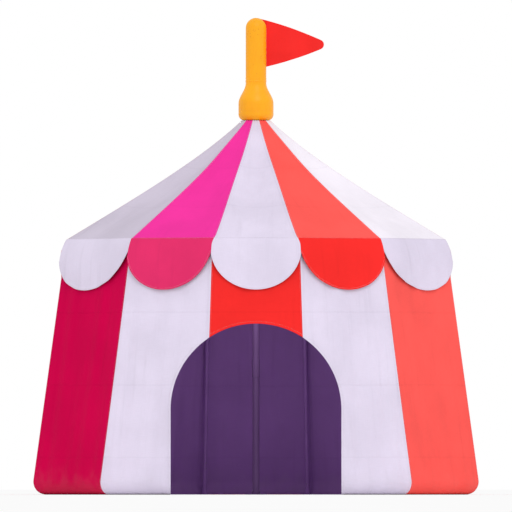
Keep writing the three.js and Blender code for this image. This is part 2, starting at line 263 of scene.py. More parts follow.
def new_group(name, inputs, outputs, kind="ShaderNodeTree"):
    """An empty group with named sockets: its tree, what it is given and what it puts out."""
    tree = bpy.data.node_groups.new(name, kind)
    for way, sockets in (("INPUT", inputs), ("OUTPUT", outputs)):
        for socket in sockets.split():
            holds = SOCKET_KINDS.get(socket, "Float")
            tree.interface.new_socket(socket, in_out=way, socket_type=f"NodeSocket{holds}")
    return tree, tree.nodes.new("NodeGroupInput").outputs, tree.nodes.new("NodeGroupOutput").inputs


def use_group(tree, group, inputs):
    return add(tree, "ShaderNodeGroup", inputs, node_tree=group).outputs


def new_material(name):
    """A material with a Principled shader, its tree and that shader's inputs."""
    material = bpy.data.materials.new(name)
    material.use_nodes = True
    tree = material.node_tree
    return material, tree, tree.nodes["Principled BSDF"].inputs


# %% [markdown]
# ## A plain, soft studio
#
# The drawing has flat, clean colours on white. An even white sky gives every side nearly the
# same light, and one wide soft sun from the upper right front adds just enough shade to show
# the folds. The sky is drawn pure white for the camera alone. The floor is pale and has no
# shine, so it only catches the shadow under the walls. A soft lamp under the crown shows the
# purple of the lining through the doorway. That purple is painted shade: it is the colour of
# the dark inside of the tent.

# %% Sky, sun, lamp and floor
SKY_LIGHT = 0.83
SUN_LIGHT = 0.69
SUN_SOFTNESS = math.radians(35)
SUN_FROM = Vector((0.18, -0.86, 0.80))
RING_LAMP_SIZE = 3.0
RING_LAMP_POWER = 85.0
RING_LAMP_PLACE = (0.0, -1.6, 4.6)
RING_LAMP_TILT = math.radians(20.0)
FLOOR_RADIUS = 300.0
FLOOR_SIDES = 96
FLOOR_PALE = (0.97, 0.97, 0.97, 1)
FLOOR_PALER = (0.9894, 0.9894, 0.9894, 1)
FLOOR_NOISE = 0.8


def make_sky():
    world = bpy.data.worlds.new("studio_sky")
    world.use_nodes = True
    tree = world.node_tree
    tree.nodes.clear()
    light = add(tree, "ShaderNodeBackground", {"Color": WHITE, "Strength": SKY_LIGHT})
    backdrop = add(tree, "ShaderNodeBackground", {"Color": WHITE, "Strength": 1.0})
    path = add(tree, "ShaderNodeLightPath")
    mixed = add(tree, "ShaderNodeMixShader", {
        0: path.outputs["Is Camera Ray"], 1: light.outputs[0], 2: backdrop.outputs[0],
    })
    add(tree, "ShaderNodeOutputWorld", {"Surface": mixed.outputs[0]})
    bpy.context.scene.world = world


def make_lamp(name, kind, **settings):
    data = bpy.data.lights.new(name, kind)
    for key, value in settings.items():
        setattr(data, key, value)
    return link_new(name, data)


def make_floor():
    material, tree, shader = new_material("floor_paint")
    uneven = noise(tree, object_place(tree), FLOOR_NOISE)
    feed(tree, shader, {
        "Base Color": blend(tree, uneven, FLOOR_PALE, FLOOR_PALER),
        "Roughness": 1.0, "Specular IOR Level": 0.0,
    })
    rim = circle(FLOOR_RADIUS, 0.0, FLOOR_SIDES)
    make_object("studio_floor", rim, [range(FLOOR_SIDES)], [material])


bpy.context.scene.view_settings.view_transform = "Standard"
make_sky()
look_along(make_lamp("soft_sun", "SUN", energy=SUN_LIGHT, angle=SUN_SOFTNESS), -SUN_FROM)
ring_lamp = make_lamp("ring_lamp", "AREA", shape="DISK", size=RING_LAMP_SIZE,
                      energy=RING_LAMP_POWER)
ring_lamp.location = RING_LAMP_PLACE
ring_lamp.rotation_euler = (RING_LAMP_TILT, 0.0, 0.0)
make_floor()
print(f"sky {SKY_LIGHT}, sun {SUN_LIGHT} with {math.degrees(SUN_SOFTNESS):.0f} degrees of softness")

# %% [markdown]
# ## The plan of the tent
#
# The tent has twelve bays, numbered from 0 at the front round to the right and, below zero,
# round to the left. Their corners all lie on one circle at each height. A half width is
# measured sideways from the centre to the widest corner. A line of half widths and heights
# says how a cloth runs from top to bottom, and the plan carries that line round to any bay.
# `Cloth` is the heart of the file: it turns a place on a cloth (how far across, how far down,
# how far lifted off) into a point in space.

# %% Bays and corners
BAY_ANGLES = (25.9, 26.9, 38.65, 29, 29, 29, 29)
GROUND_SPLAY = math.radians(3.25)
BAY_COUNT = 12
BACK_BAY = 6
SIDE_BAY = 3
EAVE_Z = 5.100
CROWN_Z = 7.500
CROWN_HALF_WIDTH = 0.286
EAVE_HALF_WIDTH = 3.790
GROUND_HALF_WIDTH = 4.492
WALL_LEAN = 0.1376
ROOF_RUN_AT_CROWN = 1.045
ROOF_RUN_AT_EAVE = 1.63
SEAM_SPREAD = 3.0
SEAM_SPREAD_Z = 7.20
SEAM_SPREAD_REACH = 0.45
SEAM_BOW = 0.70
SEAM_BOW_FOOT = (4.970, 5.190)
SEAM_BOW_HEAD = (5.350, 6.600)

Bay = namedtuple("Bay", "number name middle half")


def make_bay(number):
    turns = abs(number)
    middle = sum((BAY_ANGLES[n] + BAY_ANGLES[n + 1]) / 2 for n in range(turns))
    side = "right" if number > 0 else "left"
    name = {0: "front", BACK_BAY: "back"}.get(turns, f"{side}_{turns}")
    return Bay(number, name, math.radians(math.copysign(middle, number)),
               math.radians(BAY_ANGLES[turns] / 2))


BAYS = [make_bay(n if n <= BACK_BAY else n - BAY_COUNT) for n in range(BAY_COUNT)]
SPLAYED_CORNER = BAYS[1].middle + BAYS[1].half
WIDEST_CORNER = BAYS[SIDE_BAY].middle - BAYS[SIDE_BAY].half


def is_corner(angle, corner):
    """Whether an angle is that of a corner, or of its mirror image."""
    return abs(abs(angle) - corner) < math.radians(1)


def smooth(value, start, end):
    """0 before start, 1 after end, and an easy curve between."""
    share = np.clip((value - start) / (end - start), 0, 1)
    return share * share * (3 - 2 * share)


def splayed_angle(angle, z):
    """Where a corner of the walls lies. The second one from the front is pegged a little
    nearer the side bays at the ground than at the eave."""
    if not is_corner(angle, SPLAYED_CORNER):
        return angle
    return angle + math.copysign(GROUND_SPLAY, angle) * (1 - z / EAVE_Z)


def bowed_angle(angle, z):
    """Where a seam of the roof and valance lies. The first one from the front bows in towards
    the front and runs out over the eave. The second one spreads a little below the crown."""
    turn = 0.0
    if is_corner(angle, BAYS[0].half):
        turn = -SEAM_BOW * smooth(z, *SEAM_BOW_FOOT) * (1 - smooth(z, *SEAM_BOW_HEAD))
    elif is_corner(angle, SPLAYED_CORNER):
        turn = SEAM_SPREAD * np.exp(-((z - SEAM_SPREAD_Z) / SEAM_SPREAD_REACH) ** 2)
    return angle + math.copysign(1.0, angle) * np.radians(turn)


def corner_point(angle, half_width, z):
    radius = half_width / math.sin(WIDEST_CORNER)
    return together(radius * np.sin(angle), -radius * np.cos(angle), z)


print("bays:", ", ".join(f"{bay.name} {math.degrees(bay.middle):.1f}" for bay in BAYS))

# %% Lines that run down a cloth, and the cloth of a bay
LINE_MARGIN = 0.05
SLOPE_STEP = 0.004


class Line:
    """A line of (half width, height) points, read by the metres walked down it."""

    def __init__(self, points, corner_angle):
        self.corner_angle = corner_angle
        points = np.array(points, float)
        first, last = points[1] - points[0], points[-1] - points[-2]
        start = points[0] - first / np.hypot(*first) * LINE_MARGIN
        end = points[-1] + last / np.hypot(*last) * LINE_MARGIN
        self.points = np.vstack([start, points, end])
        self.walked = walk(self.points) - LINE_MARGIN
        self.length = self.walked[-1] - LINE_MARGIN

    def at(self, down):
        half_width, height = self.points.T
        return np.interp(down, self.walked, half_width), np.interp(down, self.walked, height)

    def slope(self, down):
        """The unit step (outwards, upwards) that the line takes here, walking down it."""
        step = np.array(self.at(down + SLOPE_STEP)) - np.array(self.at(down - SLOPE_STEP))
        return step / np.hypot(*step)

    def down_at(self, height):
        """How far down the line a height lies, on a line that only falls."""
        return np.interp(-np.asarray(height), -self.points[:, 1], self.walked)


class Cloth:
    """The cloth of one bay: the line that it follows and how it folds. A place on it is given
    by side, from -1 at its left corner to 1 at its right one, and by the metres down it."""

    def __init__(self, bay, line, folds):
        self.bay, self.line = bay, line
        self.folds = folds(self)

    def corners(self, down):
        """Its left and right corners."""
        half_width, height = self.line.at(down)
        for side in (-1, 1):
            angle = self.line.corner_angle(self.bay.middle + side * self.bay.half, height)
            yield corner_point(angle, half_width, height)

    def half(self, down):
        """Half its width in metres."""
        left, right = self.corners(down)
        return np.linalg.norm(right - left, axis=-1) / 2

    def facing(self, side, down):
        """The direction that its plain face looks in."""
        down = np.broadcast_arrays(side, down)[1]
        left, right = self.corners(down)
        along = (right - left) / np.linalg.norm(right - left, axis=-1, keepdims=True)
        run, fall = self.line.slope(down)
        return together(-fall * along[..., 1], fall * along[..., 0], run)

    def place(self, side, down, lift=0.0):
        """A point on its plain face, or lifted off it."""
        side, down, lift = np.broadcast_arrays(side, down, lift)
        left, right = self.corners(down)
        share = (side[..., None] + 1) / 2
        return left * (1 - share) + right * share + self.facing(side, down) * lift[..., None]

    def at(self, side, down, lift=0.0):
        """A point on the folded cloth, or lifted off it."""
        return self.place(side, down, self.folds(side, down) + lift)


# %% [markdown]
# ## Three cloths, three lines
#
# The roof leaves the crown steeply and flattens towards the eave, as hung cloth does. The
# valance laps a finger's width over the roof's edge and flares out, fast at first and then
# ever less. The wall bends in under the roof at its top, leans outwards and curls in at its
# foot.

# %% The lines of roof, valance and wall
LINE_POINTS = 240
SEAM_GAP = 0.0004
VALANCE_DROP = 1.021
VALANCE_FLARE = 0.158
FLARE_EASE = 3.8
VALANCE_OFFSET = 0.008
VALANCE_LAP = 0.020
VALANCE_LAP_LIFT = 0.0055
WALL_BEND_Z = 4.900
WALL_TOP = (3.774, 5.097)
FOOT_RADIUS = 0.260


def roof_line():
    """The cubic curve that has the given run, outwards for each metre down, at each end."""
    drop_all = CROWN_Z - EAVE_Z
    mean_run = (EAVE_HALF_WIDTH - CROWN_HALF_WIDTH) / drop_all
    square = (3 * mean_run - 2 * ROOF_RUN_AT_CROWN - ROOF_RUN_AT_EAVE) / drop_all
    cube = (ROOF_RUN_AT_CROWN + ROOF_RUN_AT_EAVE - 2 * mean_run) / drop_all ** 2
    drop = np.linspace(SEAM_GAP, drop_all, LINE_POINTS)
    spread = ROOF_RUN_AT_CROWN * drop + square * drop ** 2 + cube * drop ** 3
    return Line(together(CROWN_HALF_WIDTH + spread, CROWN_Z - drop), bowed_angle)


def valance_line(roof):
    drop = np.linspace(0.0, VALANCE_DROP, LINE_POINTS)
    left = 1 - drop / VALANCE_DROP
    steep = VALANCE_FLARE * FLARE_EASE * left ** (FLARE_EASE - 1) / VALANCE_DROP
    size = np.hypot(1, steep)
    out = EAVE_HALF_WIDTH + SEAM_GAP + VALANCE_FLARE * (1 - left ** FLARE_EASE)
    hanging = together(out + VALANCE_OFFSET / size, EAVE_Z - drop + VALANCE_OFFSET * steep / size)
    run, fall = roof.slope(roof.length)
    edge = np.array([EAVE_HALF_WIDTH, EAVE_Z]) + VALANCE_LAP_LIFT * np.array([-fall, run])
    lap = edge - VALANCE_LAP * np.array([run, fall])
    return Line(np.vstack([lap, hanging]), bowed_angle)


def wall_line():
    lean = math.atan(WALL_LEAN)
    centre = GROUND_HALF_WIDTH - WALL_LEAN * FOOT_RADIUS - FOOT_RADIUS / math.cos(lean)
    foot = arc((centre, FOOT_RADIUS), FOOT_RADIUS, np.linspace(lean, -math.pi / 2, LINE_POINTS))
    bend = (GROUND_HALF_WIDTH - WALL_LEAN * WALL_BEND_Z, WALL_BEND_Z)
    return Line(np.vstack([WALL_TOP, bend, foot]), splayed_angle)


ROOF = roof_line()
VALANCE = valance_line(ROOF)
WALL = wall_line()
print(f"roof {ROOF.length:.3f} m long, valance {VALANCE.length:.3f} m, wall {WALL.length:.3f} m")

# %% [markdown]
# ## How the cloth is shaped
#
# Real canvas is never flat. It sags, it pulls in rays from each corner that holds it, it
# pleats where it is gathered at the crown, and hung cloth falls in soft folds. A simulation
# could find such folds, but three dozen taut sheets would take minutes and would not land on
# the seams. So each kind of cloth gets a small formula instead: a sum of waves with a fixed
# random seed, faded out wherever the cloth is held. Neighbours still meet exactly, corner to
# corner. A fade is a pair of distances: where the cloth is still held, and where it is free.

# %% Waves and fades
SEED = 1905
VALANCE_SEED = SEED + 100
WALL_SEED = SEED + 200


def slow_waves(rng, count, longest, shortest):
    """A sum of waves in random directions, from -1 to 1, as a function of two distances."""
    length = rng.uniform(shortest, longest, count)
    turn = rng.uniform(0, FULL_TURN, count)
    phase = rng.uniform(0, FULL_TURN, count)
    share = length / length.sum()

    def waves(across, down):
        height = 0.0
        for n in range(count):
            along = across * math.cos(turn[n]) + down * math.sin(turn[n])
            height = height + share[n] * np.sin(FULL_TURN * along / length[n] + phase[n])
        return height

    return waves


# %% Roof: sag, crown pleats and pull lines
ROOF_WAVES = (5, 1.9, 0.7)
ROOF_SAG = 0.085
SAG_POWER = 1.4
CROWN_PLEAT = 0.0045
PLEAT_FADE = 0.55
PLEAT_SHIFT = 0.2
PLEATS_PER_BAY = 3
PULL_HEIGHT = 0.0075
PULL_REACH = 0.85
PULL_START = (0.02, 0.3)
PULL_RAYS = 15
ROOF_RIPPLE = 0.004
ROOF_CROWN_FADE = (0.1, 0.9)
ROOF_EAVE_FADE = (0.0, 0.35)
ROOF_SIDE_FADE = (0.0, 0.3)


def roof_folds(cloth):
    """How far a gore stands off its plain face."""
    rng = np.random.default_rng(SEED + cloth.bay.number)
    waves = slow_waves(rng, *ROOF_WAVES)
    phase = rng.uniform(0, FULL_TURN, 3)

    def folds(side, down):
        half = cloth.half(down)
        share = np.clip(down / ROOF.length, 0, 1)
        above = ROOF.length - down
        held = 1 - side ** 2
        sag = -ROOF_SAG * held * np.sin(math.pi * share) ** SAG_POWER
        pleat = np.cos(math.pi * PLEATS_PER_BAY * side + phase[0] * PLEAT_SHIFT)
        pleat = pleat * np.exp(-down / PLEAT_FADE)
        pull = 0.0
        for corner, ray_phase in zip((-1, 1), phase[1:]):
            beside = (1 - corner * side) * half
            far = np.hypot(beside, above)
            turn = np.arctan2(beside, above)
            near = np.exp(-far / PULL_REACH) * smooth(far, *PULL_START)
            pull = pull + np.cos(PULL_RAYS * turn + ray_phase) * near * np.sin(2 * turn) ** 2
        loose = smooth(above, *ROOF_EAVE_FADE) * smooth(held, *ROOF_SIDE_FADE)
        ripple = ROOF_RIPPLE * waves(side * half, down) * smooth(down, *ROOF_CROWN_FADE)
        return sag + CROWN_PLEAT * pleat * held + loose * (PULL_HEIGHT * pull + ripple)

    return folds


# %% Valance: a flutter that grows towards the free edge
FLUTTER = 0.018
FLUTTER_LENGTH = 0.46
FLUTTER_SPREAD = (0.9, 1.15)
FLUTTER_LEAN = 0.8
FLUTTER_FADE = (0.15, 1.1)
SLOW_FLUTTER = 2.7
SLOW_SHARE = 0.4
SIDE_FLUTTER = 0.2
SIDE_TUCK = 0.036
TUCK_FADE = (0.1, 0.55)
SCALLOP_SIDE_FADE = (0.0, 0.12)


def valance_folds(cloth):
    """How far a valance scallop flutters outwards. Only the side ones are tucked in a little."""
    rng = np.random.default_rng(VALANCE_SEED + cloth.bay.number)
    phase = rng.uniform(0, FULL_TURN, 2)
    length = FLUTTER_LENGTH * rng.uniform(*FLUTTER_SPREAD)
    beside = abs(cloth.bay.number) == SIDE_BAY
    height, tuck = (FLUTTER * SIDE_FLUTTER, SIDE_TUCK) if beside else (FLUTTER, 0.0)

    def folds(side, down):
        across = side * cloth.half(down)
        wave = np.sin(FULL_TURN * across / length + phase[0] + FLUTTER_LEAN * down)
        slow = np.sin(FULL_TURN * across / (length * SLOW_FLUTTER) + phase[1])
        flutter = (1 + wave) / 2 * (1 - SLOW_SHARE + SLOW_SHARE * slow)
        flutter = height * flutter * smooth(down, *FLUTTER_FADE)
        free = smooth(1 - np.abs(side), *SCALLOP_SIDE_FADE)
        return free * (flutter - tuck * smooth(down, *TUCK_FADE))

    return folds


# %% Wall: long soft folds between held corners
DOOR_HALF_WIDTH = 1.700
DOOR_SPRING_Z = 1.700
DOOR_BAYS = (-1, 0, 1)
WALL_BELLY = 0.030
FOLD_LENGTHS = (0.95, 0.58, 0.37)
FOLD_HEIGHTS = (0.011, 0.0075, 0.0035)
FOLD_SPREAD = (0.9, 1.12)
FOLD_DRIFT = (-0.5, 0.5)
WALL_WAVES = (4, 1.6, 0.6)
WALL_RIPPLE = 0.004
WALL_SIDE_FADE = (0.0, 0.30)
WALL_TOP_FADE = (0.15, 1.3)
WALL_FOOT_FADE = (0.02, 0.55)
DOOR_FADE = (0.0, 0.35)


def past_doorway(points):
    """How far points lie outside the arch of the doorway, seen from the front."""
    x, z = points[..., 0], points[..., 2]
    above = np.hypot(x, z - DOOR_SPRING_Z) - DOOR_HALF_WIDTH
    return np.where(z > DOOR_SPRING_Z, above, np.abs(x) - DOOR_HALF_WIDTH)


def wall_folds(cloth):
    """How far a wall panel hangs off its plain face: mostly inwards, in long upright folds."""
    rng = np.random.default_rng(WALL_SEED + cloth.bay.number)
    count = len(FOLD_LENGTHS)
    phases = rng.uniform(0, FULL_TURN, count)
    lengths = np.array(FOLD_LENGTHS) * rng.uniform(*FOLD_SPREAD, count)
    drift = rng.uniform(*FOLD_DRIFT, count)
    waves = slow_waves(rng, *WALL_WAVES)

    def folds(side, down):
        half = cloth.half(down)
        across = side * half
        loose = 0.0
        for length, tall, phase, lean in zip(lengths, FOLD_HEIGHTS, phases, drift):
            loose = loose + tall * np.sin(FULL_TURN * across / length + phase + lean * down)
        loose = loose + WALL_RIPPLE * waves(across, down)
        loose = loose * smooth((1 - np.abs(side)) * half, *WALL_SIDE_FADE)
        share = np.clip(down / WALL.length, 0, 1)
        belly = -WALL_BELLY * (1 - side ** 2) * np.sin(math.pi * share)
        result = loose * smooth(down, *WALL_TOP_FADE) + belly
        result = result * smooth(WALL.at(down)[1], *WALL_FOOT_FADE)
        if cloth.bay.number in DOOR_BAYS:
            result = result * smooth(past_doorway(cloth.place(side, down)), *DOOR_FADE)
        return result

    return folds


# %% [markdown]
# ## From formulas to sheets
#
# A sheet is a grid of places on the cloth, laid twice: once for the outer face and once, a few
# millimetres in, for the inner face, with a rim between them. Rows and columns crowd together
# along the edges, where the cloth is folded back and sewn down, so the doubled band there is
# real geometry. Each point also remembers where it lies on the flat cloth, and how far it is
# from its side seam and its free edge. The materials read those vectors, so weave, stitch
# marks and wear follow the cloth and not the world.

# %% Build a sheet from two grids
def grid_faces(columns, rows):
    """The faces of a two-sided sheet, its rim, and which of them are on the inside."""
    count = columns * rows
    index = np.arange(count).reshape(columns, rows)
    a, b, c, d = index[:-1, :-1], index[1:, :-1], index[1:, 1:], index[:-1, 1:]
    outer = together(a, d, c, b).reshape(-1, 4)
    inner = together(a, b, c, d).reshape(-1, 4) + count
    loop = np.concatenate([index[0, :-1], index[:-1, -1], index[-1, :0:-1], index[:0:-1, 0]])
    after = np.roll(loop, -1)
    rim = together(after, loop, loop + count, after + count)
    inside = np.concatenate([np.zeros(len(outer)), np.ones(len(inner)), np.zeros(len(rim))])
    return np.concatenate([outer, inner, rim]), inside


def quad_area(grid):
    """The area of a grid of points."""
    across, down = np.diff(grid, axis=0)[:, :-1], np.diff(grid, axis=1)[:-1]
    return float(np.linalg.norm(np.cross(across, down), axis=-1).sum())


def two_sided(name, outer, inner, lay, seam, materials):
    """A sheet from the grids of its two faces. lay is the place of each point on the flat
    cloth, and seam its distance from the seam and the free edge."""
    faces, inside = grid_faces(*outer.shape[:2])
    points = np.concatenate([outer.reshape(-1, 3), inner.reshape(-1, 3)])
    vectors = {key: np.tile(grid.reshape(-1, 3), (2, 1)) for key, grid in
               (("lay", lay), ("seam", seam))}
    return make_object(name, points, faces, materials, inside * (len(materials) - 1), vectors)


# %% Columns that crowd at the seams
SEAM_STEPS = np.array([0.0, 0.003, 0.040, 0.047])
SEAM_PROFILE = np.array([0.25, 1.0, 1.0, 0.0])
SEAM_HEIGHT = 0.0035
SEAM_SHARE = 0.30


def seam_squeeze(half):
    """How much narrower the sewn bands are where the cloth is too narrow for them."""
    return np.minimum(1.0, SEAM_SHARE * half / SEAM_STEPS[-1])


def band_heights(first, count, last):
    """Heights across a cloth: a sewn band, plain cloth and another band."""
    return np.concatenate([first, np.zeros(count - 2), last[::-1]])


def seam_columns(half, count):
    """Places across a cloth whose both side edges carry a sewn band, and the bands' height."""
    squeeze = seam_squeeze(half)
    edge = SEAM_STEPS[:, None] * squeeze / half
    inner = np.linspace(-1, 1, count)[1:-1, None] * (1 - edge[-1])
    side = np.vstack([-1 + edge, inner, 1 - edge[::-1]])
    height = band_heights(SEAM_PROFILE, count, SEAM_PROFILE)[:, None]
    return side, np.broadcast_to(height * SEAM_HEIGHT * squeeze, side.shape)


def rows_down(band_start, end, rows, band_rows):
    """Rows down a cloth, closer together in the band at its end."""
    return np.concatenate([
        np.linspace(0, band_start, rows), np.linspace(band_start, end, band_rows)[1:],
    ])


# %% [markdown]
# ## Canvas, lining, steel and paint
#
# Big-top canvas is a coated cotton: matt, tightly woven, a little uneven in its dye, greyer where
# rain runs down it and browner where feet and mud touch it. Its seams also get painted shade:
# the cloth is darker in the crease at each seam and in the groove beside each sewn band. Two
# shader groups are built once for every colour: one gives the threads, one the weather and the
# painted seam shade. A material only names its colour and its amounts. The groups read the
# vectors that the sheets carry, so the threads follow the cloth through every fold.

# %% Threads
THREAD_SPACING = 0.0028
THREAD_HEIGHT = 0.12
SLUB_HEIGHT = 0.10
SLUB_DETAIL = 2.0
SLUB_STRETCHES = ((160.0, 5.0, 9.0), (5.0, 160.0, 9.0))
LAP_SPACING = 1.46
LAP_WIDTH = 0.030
LAP_EDGE = 0.003


def weave_group():
    """Threads over and under each other, uneven threads, and the laps between widths of cloth."""
    tree, given, result = new_group("canvas_weave", "Lay Spacing", "Height Shade Lap")
    across, down, _ = add(tree, "ShaderNodeSeparateXYZ", {0: given["Lay"]}).outputs
    beat = maths(tree, "DIVIDE", math.pi, given["Spacing"])
    warp, weft = (maths(tree, "SINE", product(tree, way, beat)) for way in (across, down))
    threads = maths(tree, "ABSOLUTE", product(tree, warp, weft))
    slubs = [noise(tree, given["Lay"], 1.0, SLUB_DETAIL, stretch) for stretch in SLUB_STRETCHES]
    slub = product(tree, total(tree, *slubs), 0.5)
    past = maths(tree, "MODULO", down, LAP_SPACING)
    lap = product(tree, ramp(tree, past, 0.0, LAP_EDGE),
                  ramp(tree, past, LAP_WIDTH, LAP_WIDTH + LAP_EDGE, 1.0, 0.0))
    lap = product(tree, lap, maths(tree, "GREATER_THAN", down, LAP_SPACING / 2))
    height = total(tree, product(tree, threads, THREAD_HEIGHT), product(tree, slub, SLUB_HEIGHT))
    feed(tree, result, {"Height": total(tree, height, lap), "Shade": slub, "Lap": lap})
    return tree


WEAVE = weave_group()
print("sockets of the weave:", ", ".join(item.name for item in WEAVE.interface.items_tree))

# %% Weather and painted seam shade
DYE_NOISE = (0.9, 4.0)
DYE_RANGE = (0.955, 1.045)
THREAD_RANGE = (0.97, 1.03)
STREAK_STRETCH = (7.0, 0.45, 5.0)
STREAK_DETAIL = 4.0
STREAK_SHOWS = (0.5, 0.78)
PATCH_NOISE = (0.6, 2.0)
PATCH_SHOWS = (0.35, 0.65)
# Painted shade in the seams: the width of the darkened crease, where the darkened groove beside the
# sewn band lies, and how dark that groove is.
CREASE_WIDTH = 0.010
GROOVE_INSET = 0.0435
GROOVE_WIDTH = (0.001, 0.006)
GROOVE_SHADE = 0.45
EDGE_WIDTH = 0.012
EDGE_GRIME = 0.8
BLOTCH_NOISE = (5.0, 5.0)
BLOTCH_SHOWS = (0.38, 0.62)
LAP_GRIME = 0.06
SPLASH_NOISE = (3.0, 5.0)
SPLASH_RANGE = (-0.16, 0.16)
SPLASH_HEIGHT = 0.50
# How far stains and the painted seam shade darken the cloth.
STAIN_AND_SHADE_DARKNESS = 0.62
DUST = (0.36, 0.29, 0.25, 1)
CANVAS_ROUGHNESS = (0.70, 0.84)
DUST_ROUGHNESS = 0.15


def weather_and_shade_group():
    """Uneven dye, rain streaks, painted shade in the seam creases and grooves, wear along the free
    edges and dust near the ground.
    """
    tree, given, result = new_group(
        "canvas_weather_and_seam_shade", "Colour Lay Seam Place Shade Lap Streaks Grime Dust", "Colour Roughness")
    side_seam, free_edge, _ = add(tree, "ShaderNodeSeparateXYZ", {0: given["Seam"]}).outputs
    z = add(tree, "ShaderNodeSeparateXYZ", {0: given["Place"]}).outputs["Z"]
    dye = wander(tree, noise(tree, given["Place"], *DYE_NOISE), *DYE_RANGE)
    dyed_cloth = scaled(tree, given["Colour"],
                        product(tree, dye, wander(tree, given["Shade"], *THREAD_RANGE)))
    streak = noise(tree, given["Lay"], 1.0, STREAK_DETAIL, STREAK_STRETCH)
    patch = ramp(tree, noise(tree, given["Place"], *PATCH_NOISE), *PATCH_SHOWS)
    streak = product(tree, product(tree, ramp(tree, streak, *STREAK_SHOWS), patch),
                     given["Streaks"])
    # Painted shade: the cloth is darkened in the crease along its side seam and in the groove at
    # the edge of the sewn band. The worn free edge below is real wear.
    groove = maths(tree, "ABSOLUTE", maths(tree, "SUBTRACT", side_seam, GROOVE_INSET))
    crease_shade = total(tree, ramp(tree, side_seam, 0.0, CREASE_WIDTH, 1.0, 0.0),
                   ramp(tree, groove, *GROOVE_WIDTH, GROOVE_SHADE, 0.0))
    blotch = ramp(tree, noise(tree, given["Place"], *BLOTCH_NOISE), *BLOTCH_SHOWS)
    worn = product(tree, ramp(tree, free_edge, 0.0, EDGE_WIDTH, EDGE_GRIME, 0.0), blotch)
    shade_and_grime = total(tree, product(tree, total(tree, crease_shade, worn), given["Grime"]),
                  product(tree, given["Lap"], LAP_GRIME))
    splash = wander(tree, noise(tree, given["Place"], *SPLASH_NOISE), *SPLASH_RANGE)
    low = product(tree, ramp(tree, total(tree, z, splash), 0.0, SPLASH_HEIGHT, 1.0, 0.0),
                  given["Dust"])
    # Rain streaks, painted seam shade, edge wear and the lap joints all darken the cloth by one
    # share.
    colour = blend(tree, total(tree, streak, shade_and_grime, clamp=True), dyed_cloth,
                   scaled(tree, dyed_cloth, STAIN_AND_SHADE_DARKNESS))
    rough = total(tree, wander(tree, given["Shade"], *CANVAS_ROUGHNESS),
                  product(tree, low, DUST_ROUGHNESS), clamp=True)
    feed(tree, result, {"Colour": blend(tree, low, colour, DUST), "Roughness": rough})
    return tree


WEATHER_AND_SHADE = weather_and_shade_group()
print("sockets of the weather:", ", ".join(item.name for item in WEATHER_AND_SHADE.interface.items_tree))

# %% Cloth materials
SLOT_COLOURS = {entry["slot"]: tuple(entry["base_color"]) for entry in frame["record"]["materials"]}
BUMP_HEIGHT = 0.0016
DYE_GAINS = {
    "roof_pink": (0.955, 1.0, 1.0), "wall_red": (0.945, 0.93, 0.94),
    "pennant_red": (0.955, 0.98, 0.98), "wall_crimson": (1.07, 0.2, 1.0),
    "frame_steel": (3.8, 4.35, 3.25), "finial_gold": (1.0, 1.0, 0.3),
}
CLOTH_SHINE = 0.02
SHEEN_ROUGHNESS = 0.5
# Each tuple gives rain streaks, painted seam shade together with edge wear, and dust near the
# ground.
CANVAS_WEAR_AND_SHADE = {"roof": (0.22, 0.35, 0.0), "valance": (0.18, 0.45, 0.0), "wall": (0.22, 0.40, 0.06)}
LINING_WEAR_AND_SHADE = (0.25, 0.3, 0.1)
BUNTING_WEAR_AND_SHADE = (0.12, 0.35, 0.0)
BUNTING_SHEEN = 0.03


def dyed(slot, gain=1.0):
    """A slot's colour, corrected for the light that it hangs in."""
    colour = np.multiply(SLOT_COLOURS[slot], DYE_GAINS.get(slot, 1.0)) * gain
    return (*colour, 1)


def cloth_material(name, colour, streaks, shade_and_grime, dust, sheen=0.0):
    """A woven material in one colour, with weather and painted seam shade in the amounts given."""
    material, tree, shader = new_material(name)
    lay, seam = (add(tree, "ShaderNodeAttribute", attribute_name=key).outputs["Vector"]
                 for key in ("lay", "seam"))
    weave = use_group(tree, WEAVE, {"Lay": lay, "Spacing": THREAD_SPACING})
    weather_and_shade = use_group(tree, WEATHER_AND_SHADE, {
        "Colour": colour, "Lay": lay, "Seam": seam, "Place": object_place(tree),
        "Shade": weave["Shade"], "Lap": weave["Lap"],
        "Streaks": streaks, "Grime": shade_and_grime, "Dust": dust,
    })
    feed(tree, shader, {
        "Base Color": weather_and_shade["Colour"], "Roughness": weather_and_shade["Roughness"],
        "Normal": bumped(tree, BUMP_HEIGHT, weave["Height"]),
        "Specular IOR Level": CLOTH_SHINE,
        "Sheen Weight": sheen, "Sheen Roughness": SHEEN_ROUGHNESS,
    })
    return material


CANVAS = {}
for slot_name in SLOT_COLOURS:
    wear = CANVAS_WEAR_AND_SHADE.get(slot_name.split("_")[0])
    if wear:
        CANVAS[slot_name] = cloth_material(f"canvas_{slot_name}", dyed(slot_name), *wear)
# The lining is real cloth, but its purple is painted shade: the colour of the dark inside of the
# tent seen through the doorway. Its slot's gain brightens it so that it reads as that shade under
# the ring lamp.
SHADE_PURPLE_LINING = cloth_material("lining_painted_shade_purple", dyed("frame_steel"), *LINING_WEAR_AND_SHADE)
BUNTING = cloth_material("bunting_red", dyed("pennant_red"), *BUNTING_WEAR_AND_SHADE, BUNTING_SHEEN)
print("canvas colours:", ", ".join(sorted(CANVAS)))

# %% [markdown]
# ## The roof
#
# Twelve gores, each as wide as its bay, run from the crown to the eave. Each is one grid: the
# columns crowd at the two seams, where the cloth is doubled. White and coloured stripes take
# turns. The white ones of the roof come in three shades, and the coloured ones in coral and
# pink. These shades are painted light and shade: the three whites are one white cloth, painted
# plain, lit and shaded, and coral and pink are one red cloth, painted lit and shaded. The
# valance and the walls take turns in the same way.

# %% Sew the roof
ROOF_CLOTH = 0.004
ROOF_COLUMNS = 42
ROOF_ROWS = 56
EAVE_BAND = 0.30
EAVE_ROWS = 15
